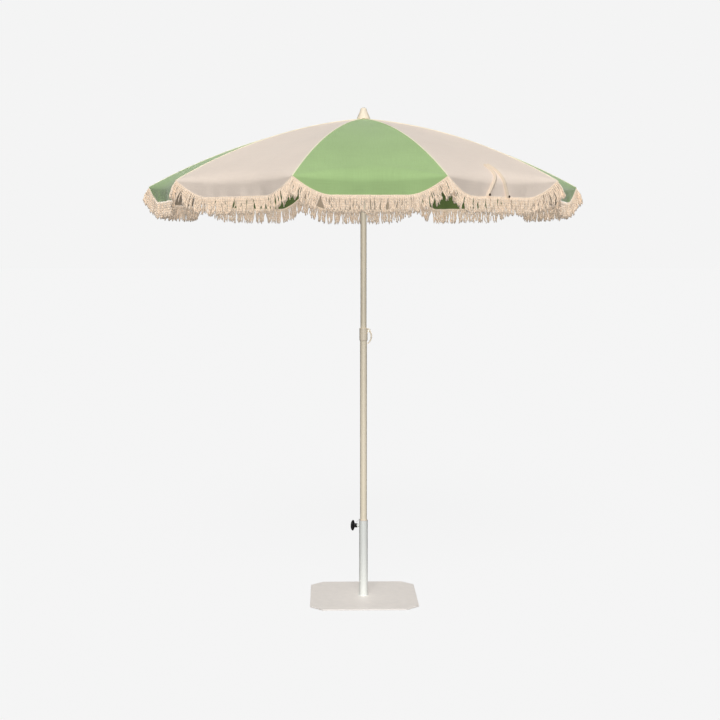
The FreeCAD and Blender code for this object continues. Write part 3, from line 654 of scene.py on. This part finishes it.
    def lay(self, gore: int, share: np.ndarray, along: np.ndarray) -> tuple[np.ndarray, np.ndarray]:
        """Points of the cloth.

        Args:
            gore: The gore's number.
            share: Place across, -1 at the one rib, 0 in the middle and 1 at the other.
            along: Place down the cloth: 0 at the crown, 1 at the rim's middle, 2 at the hem.

        Returns:
            The points in the parasol's frame, and each point's distance down the cloth in metres.
        """
        v, u = share, along
        dome = 1 - v ** 2
        back = self.round_least + (self.round_out - self.round_least) * dome
        fall = self.round_least + (self.round_down - self.round_least) * dome
        rim = self.rim - self.draw_in * dome
        bend_x = rim - back
        corner = self.height(rim / self.out)
        under = corner - fall
        on_dome = u < self.shoulder
        start = self.hole * self.out
        dome_x = start + (bend_x - start) * np.clip(u / self.shoulder, 0, 1)
        above = np.clip((u - self.shoulder) / (1 - self.shoulder), 0, 1)
        t = (above + np.clip((u - 1) / (self.brow - 1), 0, 1)) / 2
        first, second, third = (1 - t) ** 2, 2 * t * (1 - t), t ** 2
        rim_y = v * self.half_width
        spread = v * self.aside / self.out
        x = np.where(on_dome, dome_x, first * bend_x + (second + third) * rim)
        y = np.where(on_dome, spread * dome_x, first * spread * bend_x + (second + third) * rim_y)
        z = np.where(on_dome, self.height(dome_x / self.out),
                     first * self.height(bend_x / self.out) + second * corner + third * under)
        hem = np.minimum(self.tip_height - self.hem_drop(rim_y), under - 1 * MM)
        lower = np.clip((u - self.brow) / (2 - self.brow), 0, 1)
        z = np.where(u > self.brow, under * (1 - lower) + hem * lower, z)
        reach = np.minimum(x, self.rim)
        slope = (reach / self.out - self.centre_x) / self.arc_radius
        lift = -self.sag * np.sin(math.pi * np.clip(reach / self.rim, 0, 1) ** 0.8) * dome
        lift = lift + self.creases(gore, y, reach) * (1 - np.abs(v) ** 3) * np.clip((1.35 - u) / 0.5, 0, 1)
        x = x + lift * slope * np.clip(u, 0, 1)
        z = z + lift * np.sqrt(1 - slope ** 2) * np.clip((1.3 - u) / 0.3, 0, 1)
        sway = np.clip((self.tip_height - z) / self.hem_depth, 0, 1.4) ** 1.3
        x = x + self.ripple * self.waves(gore, y) * sway
        past = bend_x / self.out + t * (back + fall) + lower * fall + np.maximum(u - self.brow, 0) * 20 * MM
        return self.turned(gore, x, y, z), np.where(on_dome, dome_x / self.out, past)

    def turned(self, gore: int, x: np.ndarray, y: np.ndarray, z: np.ndarray) -> np.ndarray:
        """Points of a gore's own frame, in the parasol's frame."""
        c, s, _ = level(self.middle_azimuth(gore))
        return np.stack([x * c - y * s, x * s + y * c, z], axis=-1)

    def outward(self, gore: int) -> np.ndarray:
        """The level direction out along a gore's middle."""
        return level(self.middle_azimuth(gore))

    def across(self, gore: int) -> np.ndarray:
        """The level direction across a gore, square to its middle."""
        return level(self.middle_azimuth(gore) + math.pi / 2)

    def beside_rib(self, rib: int) -> np.ndarray:
        """The level direction square to a rib."""
        return level(self.rib_azimuth(rib) + math.pi / 2)


# ---------------------------------------------------------------- cloth
@dataclass
class Gore:
    """One gore of the canopy with its valance, braid and fringe, in two halves that ride on their ribs."""

    form: CanopyForm
    finishes: Finishes
    number: int
    cloth: float = 0.7 * MM
    panel_columns: int = 34
    panel_rows: int = 96
    valance_columns: int = 64
    valance_rows: int = 16
    keep: float = 0.075
    arc_over_radius: float = 1.07

    @property
    def canvas(self) -> Canvas:
        """Even gores are green, and the eighth faces the front."""
        return Canvas.GREEN if self.number % 2 == 0 else Canvas.CREAM

    def name(self, what: str, side: Side) -> str:
        """The name of one half of something on this gore."""
        return f"{what}_{self.number:02d}_{side.name.lower()}"

    def sheet_grid(self, name: str, side: Side, counts: tuple[int, int],
                   rows: tuple[float, float]) -> bpy.types.Object:
        """Makes a grid and lays it on the cloth's shape; its inner face wears a darker copy of the canvas,
        which is painted shade.

        Args:
            name: The piece's name.
            side: The half of the gore.
            counts: Columns across and rows down.
            rows: Places down the cloth where the grid starts and ends.

        Returns:
            The piece, with a thickness.
        """
        bpy.ops.mesh.primitive_grid_add(x_subdivisions=counts[0], y_subdivisions=counts[1], size=1)
        piece = named(name)
        mesh = piece.data
        flat = np.zeros(len(mesh.vertices) * 3)
        mesh.vertices.foreach_get("co", flat)
        flat = flat.reshape(-1, 3) + 0.5
        share = side.value * flat[:, 0] * self.form.cloth_share
        along = rows[0] + (rows[1] - rows[0]) * flat[:, 1]
        points, down = self.form.lay(self.number, share, along)
        mesh.vertices.foreach_set("co", points.astype(np.float32).ravel())
        mesh.update()
        width = np.minimum(along, 1.0) * self.form.half_width
        set_uv(piece, np.stack([share * width, down], axis=-1))
        if side is Side.RIGHT:
            mesh.flip_normals()
        self.finishes.dress(piece, self.canvas.value)
        # The inner face gets the darker copy of the canvas: painted shade.
        piece.data.materials.append(self.finishes.get(self.canvas.value + "_inside"))
        finish_with(piece, "SOLIDIFY", thickness=self.cloth, offset=-1.0, use_quality_normals=True,
                    material_offset=1, material_offset_rim=0)
        smooth(piece, 50)
        return piece

    def build_panel(self, side: Side) -> bpy.types.Object:
        """The gore's half between the crown and the rim."""
        counts = (self.panel_columns, self.panel_rows)
        piece = self.sheet_grid(self.name("panel", side), side, counts, (0.0, 1.0))
        self.fold(piece, side)
        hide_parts(f"panel_{self.number:02d}")
        return piece

    def fold(self, piece: bpy.types.Object, side: Side) -> None:
        """Lets a piece ride on a rib."""
        rib = self.form.rib_of(self.number, side)
        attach(piece, f"rib_{rib:02d}")
        Vector(self.form.beside_rib(rib))
        self.form.tip_of(rib)
        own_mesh(piece)

    def build_valance(self, side: Side) -> bpy.types.Object:
        """The half of the valance, from the rim down to the scalloped hem."""
        counts = (self.valance_columns, self.valance_rows)
        piece = self.sheet_grid(self.name("valance", side), side, counts, (1.0, 2.0))
        self.hang(piece, side)
        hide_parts(f"valance_{self.number:02d}")
        return piece

    def hang(self, piece: bpy.types.Object, side: Side) -> None:
        """Lets a piece hang from a rib's tip."""
        rib = self.form.rib_of(self.number, side)
        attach(piece, f"valance_{rib:02d}")
        Vector(self.form.across(self.number))
        self.form.tip_of(rib)
        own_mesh(piece)

    def build(self) -> int:
        """Builds both halves.

        Returns:
            How many pieces were made.
        """
        made = 0
        hem = Fringe(self.form, self.finishes, self)
        ribs = [f"rib_{self.number:02d}", f"rib_{self.form.next_rib(self.number):02d}"]
        for side in Side:
            panel = self.build_panel(side)
            valance = self.build_valance(side)
            fringe = hem.build(side)
            made += 3
        return made


@dataclass
class Fringe:
    """Braid along the scalloped hem and the cotton cords that hang from it."""

    form: CanopyForm
    finishes: Finishes
    gore: Gore
    pitch: float = 4.3 * MM
    length: float = 66 * MM
    lengths: tuple[float, float] = (0.86, 1.1)
    cord: float = 6.0 * MM
    cords_thick: tuple[float, float] = (0.85, 1.12)
    tuck: float = 3 * MM
    flare: float = 24 * MM
    aside_lean: float = 3.2 * MM
    outward_lean: tuple[float, float] = (1.0 * MM, 3.0 * MM)
    row_gap: float = 2.4 * MM
    wave: tuple[float, float] = (1.6, 3.6)
    sides: int = 6
    rings: int = 9
    braid_height: float = 9 * MM
    braid_thick: float = 3.4 * MM
    braid_steps: int = 120
    braid_sides: int = 10
    plait: float = 0.16
    plait_pitch: float = 5.5 * MM

    def hem_line(self, side: Side, shares: np.ndarray) -> np.ndarray:
        """Points of the hem from the gore's middle, share 0, to the rib, share 1."""
        v = side.value * shares * self.form.cloth_share
        return self.form.lay(self.gore.number, v, np.full_like(v, 2.0))[0]

    def even(self, side: Side, count: int) -> np.ndarray:
        """Points spread evenly along the hem's own length."""
        line = self.hem_line(side, np.linspace(0, 1, 400))
        run = run_along(line)
        at = np.linspace(0, run[-1], count)
        return np.stack([np.interp(at, run, line[:, k]) for k in range(3)], axis=1)

    def braid(self, side: Side) -> tuple[np.ndarray, list, np.ndarray, np.ndarray]:
        """The braid as a flat tube with the bumps of its plait.

        Args:
            side: The half of the gore.

        Returns:
            Its points, faces, places along it in metres, and tones, which are darker in the plait's dips as
            painted shade.
        """
        line = self.even(side, self.braid_steps)
        run = run_along(line)
        along = np.gradient(line, axis=0)
        along /= np.linalg.norm(along, axis=1)[:, None]
        outward = self.form.outward(self.gore.number)
        up = np.cross(outward, along) * side.value
        up *= np.sign(up[:, 2:3])
        points, uv, tone = [], [], []
        for turn in np.arange(self.braid_sides) * 2 * math.pi / self.braid_sides:
            bump = np.sin(2 * math.pi * run / self.plait_pitch + 2.5 * math.sin(turn))
            tall = self.braid_height * (math.sin(turn) / 2 + 0.28)
            wide = self.braid_thick / 2 * math.cos(turn) * (1 + self.plait * bump)
            points.append(line + up * tall + outward * wide[:, None])
            uv.append(np.stack([run, np.full_like(run, turn * self.braid_height / 4)], axis=-1))
            # Tone follows the plait's bumps: lighter where they bulge and darker in the dips, which is
            # painted shade.
            tone.append(0.62 + 0.2 * bump)
        faces = tube_faces(self.braid_steps, self.braid_sides)
        return np.concatenate(points), faces, np.concatenate(uv), np.concatenate(tone)

    def cords(self, side: Side, first: int) -> tuple[np.ndarray, list, np.ndarray, np.ndarray]:
        """The hanging cords, each wavy, leaning and clumped with its neighbours.

        Args:
            side: The half of the gore.
            first: Number of the first cord's first point.

        Returns:
            Their points, faces, places along them in metres, and tones.
        """
        count = int(run_along(self.hem_line(side, np.linspace(0, 1, 300)))[-1] / self.pitch)
        roots = self.even(side, 2 * count + 1)[1::2]
        dice = np.random.default_rng(90 + 2 * self.gore.number + (side is Side.RIGHT))
        outward, across = self.form.outward(self.gore.number), self.form.across(self.gore.number)
        clumps = np.sort(dice.choice(np.arange(0, count), max(3, count // 5), replace=False))
        t = np.linspace(0, 1, self.rings)
        hem = np.gradient(roots, axis=0)
        hem /= np.linalg.norm(hem, axis=1)[:, None]
        fan = hem[:, 2] * np.sign(hem @ across)
        points, faces, uv, tone = [], [], [], []
        for i, root in enumerate(roots):
            nearest = clumps[np.argmin(np.abs(clumps - i))]
            pull = (roots[nearest] - root) @ across * dice.uniform(0.25, 0.75)
            length = self.length * dice.uniform(*self.lengths)
            radius = self.cord / 2 * dice.uniform(*self.cords_thick)
            lean = dice.normal(0, self.aside_lean)
            out_lean = dice.normal(0, self.outward_lean[1]) + self.outward_lean[0]
            wave = dice.uniform(*self.wave) * MM * t ** 0.8
            turns = 2 * math.pi * dice.uniform(1.0, 2.2) * t
            phase, phase_out = dice.uniform(0, 2 * math.pi, 2)
            aside = pull * t ** 1.4 + lean * t + wave * (np.sin(turns + phase) - math.sin(phase))
            out = (i % 2 - 0.5) * self.row_gap + out_lean * t + 0.8 * wave * np.sin(1.2 * turns + phase_out)
            out = out + self.flare * ((i + 0.5) / count) ** 5 * t * (1.6 - 0.6 * t)
            turned = fan[i] * (1 - t) ** 1.2
            aside = aside + self.summed(turned, length + self.tuck)
            line = root + across * aside[:, None] + outward * out[:, None]
            line[:, 2] = root[2] + self.tuck - self.summed(np.sqrt(1 - turned ** 2), length + self.tuck)
            fat = radius * (0.92 + 0.12 * np.sin(6 * math.pi * t + phase)) * np.where(t > 0.97, 0.62, 1.0)
            shade = dice.uniform(0.25, 1.0)
            faces += tube_faces(self.rings, self.sides, first + i * self.rings * self.sides)
            for turn in np.arange(self.sides) * 2 * math.pi / self.sides:
                round_it = across * math.cos(turn) + outward * math.sin(turn)
                points.append(line + fat[:, None] * round_it)
                uv.append(np.stack([length * t, np.full_like(t, turn * radius)], axis=-1))
                tone.append(shade + 0.1 * np.sin(3 * t + phase))
        return np.concatenate(points), faces, np.concatenate(uv), np.concatenate(tone)

    def summed(self, rate: np.ndarray, length: float) -> np.ndarray:
        """Sums a rate per metre along a cord of a length, from its root to each ring."""
        step = length / (self.rings - 1)
        return np.concatenate([[0], np.cumsum(step * (rate[1:] + rate[:-1]) / 2)])

    def build(self, side: Side) -> bpy.types.Object:
        """Makes one half's braid and cords as one piece that hangs with the valance."""
        braid = self.braid(side)
        cords = self.cords(side, len(braid[0]))
        points, uv, tone = (np.concatenate([braid[k], cords[k]]) for k in (0, 2, 3))
        piece = mesh_piece(self.gore.name("fringe", side), points, braid[1] + cords[1], uv, tone)
        face_outwards(piece)
        self.finishes.dress(piece, "fringe_cotton")
        self.gore.hang(piece, side)
        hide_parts(f"valance_{self.gore.number:02d}")
        return piece


@dataclass
class Piping:
    """Cream binding sewn over the seam on each rib."""

    form: CanopyForm
    finishes: Finishes
    width: float = 7.5 * MM
    height: float = 3.2 * MM
    lift: float = 0.3 * MM
    short: float = 1 * MM
    stitch: float = 9 * MM
    tone: float = 0.8
    steps: int = 90
    around: int = 10

    def build(self, rib: int) -> bpy.types.Object:
        """Makes one rib's binding, from the finial to the rib's tip."""
        reach = np.linspace(self.form.hole, self.form.tip_radius - self.short, self.steps)
        out, side, up = level(self.form.rib_azimuth(rib)), self.form.beside_rib(rib), np.array([0, 0, 1.0])
        line = reach[:, None] * out + (self.form.height(reach) + self.lift)[:, None] * up
        run = run_along(line)
        slope = (reach - self.form.centre_x) / self.form.arc_radius
        normal = slope[:, None] * out + np.sqrt(1 - slope ** 2)[:, None] * up
        pucker = 1 + 0.05 * np.sin(2 * math.pi * run / self.stitch + rib)
        points, uv = [], []
        for turn in np.arange(self.around) * 2 * math.pi / self.around:
            ring = line + side * (self.width / 2 * math.cos(turn) * pucker)[:, None]
            points.append(ring + normal * (self.height / 2 * math.sin(turn)))
            uv.append(np.stack([np.full_like(run, turn * self.width / 3), run], axis=-1))
        points, uv = np.concatenate(points), np.concatenate(uv)
        faces = tube_faces(self.steps, self.around)
        piece = mesh_piece(f"piping_{rib:02d}", points, faces, uv, np.full(len(uv), self.tone))
        face_outwards(piece)
        self.finishes.dress(piece, "binding_cream", slot="canvas_cream")
        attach(piece, f"rib_{rib:02d}")
        return piece


@dataclass
class Strap:
    """Closing strap sewn to the middle of a cream gore: two tails over the rim, each with a snap."""

    form: CanopyForm
    finishes: Finishes
    gore: Gore
    side: Side = Side.LEFT
    width: float = 18 * MM
    thick: float = 1.4 * MM
    lift: float = 2.0 * MM
    ridge: float = 6 * MM
    start: float = 9 * MM
    leans: tuple[float, float] = (-78 * MM, 32 * MM)
    sewn: float = 0.83
    ends: tuple[float, float] = (1.93, 1.985)
    snap_radius: float = 5 * MM
    snap_height: float = 2.2 * MM
    snap_before_end: float = 0.12
    snap_dish: tuple[float, float] = (1.4 * MM, -0.6 * MM)
    sewn_length: float = 92 * MM
    loose_length: float = 104 * MM
    sway: float = 4 * MM
    buckle: float = 1.2 * MM
    row_pitch: float = 3 * MM
    columns: int = 7

    def strip(self, lean: int, rows: tuple[float, float], count: int) -> tuple[np.ndarray, np.ndarray]:
        """Points and outward directions of a stretch of one tail.

        Args:
            lean: -1 for the tail that leans left and 1 for the other.
            rows: Places down the cloth where the stretch starts and ends.
            count: How many rows of points.

        Returns:
            The points and the directions, both by row and column.
        """
        u = np.linspace(rows[0], rows[1], count)
        part = (u - self.sewn) / (self.ends[0] - self.sewn)
        start = lean * self.start
        middle = start + (self.leans[(lean + 1) // 2] - start) * part
        aside = np.linspace(-0.5, 0.5, self.columns) * self.width
        u, y = np.meshgrid(u, aside, indexing="ij")
        y = y + middle[:, None]
        points = self.form.lay(self.gore.number, y / self.form.half_width, u)[0]
        down, wide = np.gradient(points, axis=0), np.gradient(points, axis=1)
        out = np.cross(down, wide)
        out /= np.linalg.norm(out, axis=-1)[..., None]
        outward = self.form.outward(self.gore.number) + np.array([0, 0, 0.6])
        out *= np.sign(out @ outward)[..., None]
        loose = self.sway * np.clip(part, 0, 1) ** 2 + self.buckle * np.sin(7 * part + lean)
        crown = self.ridge * (1 - np.abs(2 * aside / self.width))
        raised = (self.lift + np.maximum(loose, 0))[:, None] + crown
        return points + out * raised[..., None], out

    def cloth(self, name: str, lean: int, rows: tuple[float, float], count: int) -> bpy.types.Object:
        """Makes a stretch of one tail as a sewn band."""
        points, _ = self.strip(lean, rows, count)
        wide = self.columns
        faces = [[r * wide + c, r * wide + c + 1, (r + 1) * wide + c + 1, (r + 1) * wide + c]
                 for r in range(count - 1) for c in range(wide - 1)]
        down = np.arange(count) * self.row_pitch * count / (count - 1)
        places = np.meshgrid(down, np.linspace(0, self.width, wide), indexing="ij")
        uv = np.stack(places, axis=-1).reshape(-1, 2)
        piece = mesh_piece(name, points.reshape(-1, 3), faces, uv, np.full(len(uv), 0.5))
        finish_with(piece, "SOLIDIFY", thickness=self.thick, offset=0.0)
        finish_with(piece, "BEVEL", width=0.3 * MM, segments=2, limit_method="ANGLE")
        smooth(piece, 50)
        self.finishes.dress(piece, "strap_cream", slot="canvas_cream")
        return piece

    def snap(self, name: str, lean: int) -> bpy.types.Object:
        """Makes the press stud near one tail's end."""
        end = self.ends[(lean + 1) // 2]
        points, out = self.strip(lean, (end - self.snap_before_end, end), 7)
        place, axis = (Vector(values[3, self.columns // 2]) for values in (points, out))
        bpy.ops.mesh.primitive_cylinder_add(vertices=28, radius=self.snap_radius, depth=self.snap_height)
        piece = named(name)
        pick_faces(piece, lambda face: face.normal.z > 0.9)
        bpy.ops.mesh.inset(thickness=self.snap_dish[0], depth=self.snap_dish[1])
        bpy.ops.object.mode_set(mode="OBJECT")
        finish_with(piece, "BEVEL", width=0.5 * MM, segments=3, limit_method="ANGLE")
        turn = axis.to_track_quat("Z", "Y").to_matrix().to_4x4()
        place_by(piece, Matrix.Translation(place + axis * (self.snap_height / 2)) @ turn)
        smooth(piece)
        self.finishes.dress(piece, "snap_brass", slot="zinc")
        return piece

    def build(self) -> int:
        """Builds both tails, each as a sewn stretch on the panel and a loose one over the valance.

        Returns:
            How many pieces were made.
        """
        panel, valance = (self.gore.name(what, self.side) for what in ("panel", "valance"))
        for lean, word in ((-1, "left"), (1, "right")):
            upper = self.cloth(f"strap_{word}_sewn", lean, (self.sewn, 1.0), 16)
            lower = self.cloth(f"strap_{word}_tail", lean, (1.0, self.ends[(lean + 1) // 2]), 40)
            stud = self.snap(f"strap_{word}_snap", lean)
            self.gore.fold(upper, self.side)
            self.gore.hang(lower, self.side)
            self.gore.hang(stud, self.side)
        return 6


# ---------------------------------------------------------------- hard pieces
@dataclass
class Finial:
    """Bell-shaped cap over the crown."""

    finishes: Finishes
    rim_radius: float = 30 * MM
    top_radius: float = 14 * MM
    rim: float = 4 * MM
    flare: tuple[float, float] = (27 * MM, 10 * MM)
    shoulder: tuple[float, float] = (18 * MM, 14 * MM)
    dome: float = 9 * MM
    bell_height: float = 52 * MM
    stud_radius: float = 5 * MM
    flare_steps: int = 14
    dome_steps: int = 9

    def rings(self, low: float, top: float) -> list[tuple[float, float]]:
        """Radius and height of each ring of the bell, from its rim to its top."""
        rings = [(self.rim_radius - 1.2 * MM, low), (self.rim_radius - 0.3 * MM, low + 0.4 * MM),
                 (self.rim_radius, low + 1.2 * MM), (self.rim_radius, low + self.rim - 1.0 * MM)]
        start, brow = (self.rim_radius - 0.5 * MM, low + self.rim), (self.top_radius, top - self.dome)
        poles = [start, (self.flare[0], low + self.rim + self.flare[1]),
                 (self.shoulder[0], brow[1] - self.shoulder[1]), brow]
        for t in np.linspace(0, 1, self.flare_steps):
            share = ((1 - t) ** 3, 3 * t * (1 - t) ** 2, 3 * t * t * (1 - t), t ** 3)
            rings.append(tuple(sum(w * pole[k] for w, pole in zip(share, poles)) for k in (0, 1)))
        for turn in np.linspace(0, math.pi / 2, self.dome_steps + 1)[1:-1]:
            rings.append((self.top_radius * math.cos(turn) ** 0.8, brow[1] + self.dome * math.sin(turn)))
        rings.append((0.8 * MM, top))
        return rings

    def build(self) -> None:
        """Turns the bell and puts it in the CAD cap's place."""
        low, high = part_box("finial")
        bell_low = high.z - self.bell_height
        piece = turned_piece("bell", self.rings(bell_low, high.z), 72)
        overlap = 2 * MM
        size = {"radius": self.stud_radius, "depth": bell_low - low.z + overlap}
        middle = (0, 0, (bell_low + low.z + overlap) / 2)
        bpy.ops.mesh.primitive_cylinder_add(vertices=24, location=middle, **size)
        stud = settle(named("stud"))
        take(piece)
        stud.select_set(True)
        bpy.ops.object.join()
        smooth(piece, 40)
        self.finishes.dress(piece, "cream_plastic")
        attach(piece, "mast")
        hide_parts("finial")


# ---------------------------------------------------------------- studio
@dataclass(frozen=True)
class Lamp:
    """One sun of the studio. Its spread, tilt from overhead and turn about Z are in degrees."""

    name: str
    strength: float
    spread: float
    tilt: float
    turn: float
    shadow: bool = False
    mirrored: bool = True

    def hang(self) -> None:
        """Puts the sun in the scene."""
        data = bpy.data.lights.new(self.name, "SUN")
        data.energy = self.strength
        data.angle = math.radians(self.spread)
        data.use_shadow = self.shadow
        lamp = bpy.data.objects.new(self.name, data)
        lamp.visible_glossy = self.mirrored
        lamp.rotation_euler = (math.radians(self.tilt), 0, math.radians(self.turn))
        bpy.context.scene.collection.objects.link(lamp)


@dataclass
class Studio:
    """Camera, light and floor. None of it is part of the parasol."""

    distance: float = 6.06
    azimuth: float = -0.028
    height: float = 1.628
    down: float = 0.0831
    aim_left: float = 0.00268
    lens: float = 65.25
    backdrop: float = 0.905
    ambient: float = 0.06
    floor_radius: float = 120
    floor_tone: float = 0.09
    floor_glow: float = 0.842

    def build(self) -> None:
        """Sets up the whole studio."""
        bpy.context.scene.view_settings.view_transform = "Standard"
        self.camera()
        self.world()
        self.lamps()
        self.floor()

    def camera(self) -> None:
        """A long lens at eye height in front of the parasol."""
        data = bpy.data.cameras.new("camera")
        data.lens = self.lens
        data.sensor_width = 36
        data.clip_end = 300
        camera = bpy.data.objects.new("camera", data)
        across, away = math.sin(self.azimuth), math.cos(self.azimuth)
        camera.location = (self.distance * across, -self.distance * away, self.height)
        camera.rotation_euler = (math.pi / 2 - self.down, 0, self.azimuth + self.aim_left)
        bpy.context.scene.collection.objects.link(camera)
        bpy.context.scene.camera = camera

    def world(self) -> None:
        """Even pale surround, dimmer as a light than as a background."""
        world = bpy.data.worlds.new("studio")
        bpy.context.scene.world = world
        world.use_nodes = True
        tree = world.node_tree
        seen = tree.nodes["Background"]
        seen.inputs["Color"].default_value = (self.backdrop,) * 3 + (1,)
        lit = tree.nodes.new("ShaderNodeBackground")
        lit.inputs["Color"].default_value = (0.97, 0.985, 1.0, 1)
        lit.inputs["Strength"].default_value = self.ambient
        which = tree.nodes.new("ShaderNodeLightPath")
        mix = tree.nodes.new("ShaderNodeMixShader")
        tree.links.new(which.outputs["Is Camera Ray"], mix.inputs["Fac"])
        tree.links.new(lit.outputs["Background"], mix.inputs[1])
        tree.links.new(seen.outputs["Background"], mix.inputs[2])
        tree.links.new(mix.outputs["Shader"], tree.nodes["World Output"].inputs["Surface"])

    def lamps(self) -> None:
        """Soft key from the front and above, and even light without shadows from three sides."""
        Lamp("key", 0.95, spread=30, tilt=50, turn=-6, shadow=True).hang()
        Lamp("front", 1.65, spread=10, tilt=83, turn=2).hang()
        Lamp("top", 1.3, spread=10, tilt=12, turn=0).hang()
        Lamp("back", 0.9, spread=10, tilt=80, turn=180, mirrored=False).hang()

    def floor(self) -> None:
        """Pale floor that keeps a faint shadow."""
        bpy.ops.mesh.primitive_circle_add(vertices=96, radius=self.floor_radius, fill_type="NGON")
        floor = named("floor")
        b = NodeBoard("floor")
        b.shade(Base_Color=(self.floor_tone,) * 3 + (1,), Roughness=0.95, Specular_IOR_Level=0.0,
                Emission_Color=(1, 1, 1, 1), Emission_Strength=self.floor_glow)
        floor.data.materials.append(b.material)
        floor.visible_diffuse = False
        floor.visible_glossy = False


def dress_frame(finishes: Finishes) -> None:
    """Gives every CAD node that stays in view the finish of its material slot."""
    for name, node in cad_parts.items():
        slot = node.data.materials[0].name.split(".")[0] if node.data.materials else "pole_paint"
        finish = slot if slot in FINISHES else "pole_paint"
        for place in node.material_slots:
            place.material = finishes.get(finish)
        log.info("%s wears %s", name, finish)


def main() -> None:
    """Builds the parasol's looks round its frame."""
    logging.basicConfig(level=logging.INFO, format="%(name)s: %(message)s")
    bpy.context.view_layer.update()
    deselect()
    finishes = Finishes()
    Studio().build()
    dress_frame(finishes)
    form = CanopyForm()
    for number in range(1, form.ribs + 1):
        gore = Gore(form, finishes, number)
        made = gore.build()
        Piping(form, finishes).build(number)
        if number == STRAP_GORE:
            made += Strap(form, finishes, gore).build()
        log.info("gore %d: %d pieces", number, made + 1)
    Finial(finishes).build()


if __name__ == "__main__":
    main()
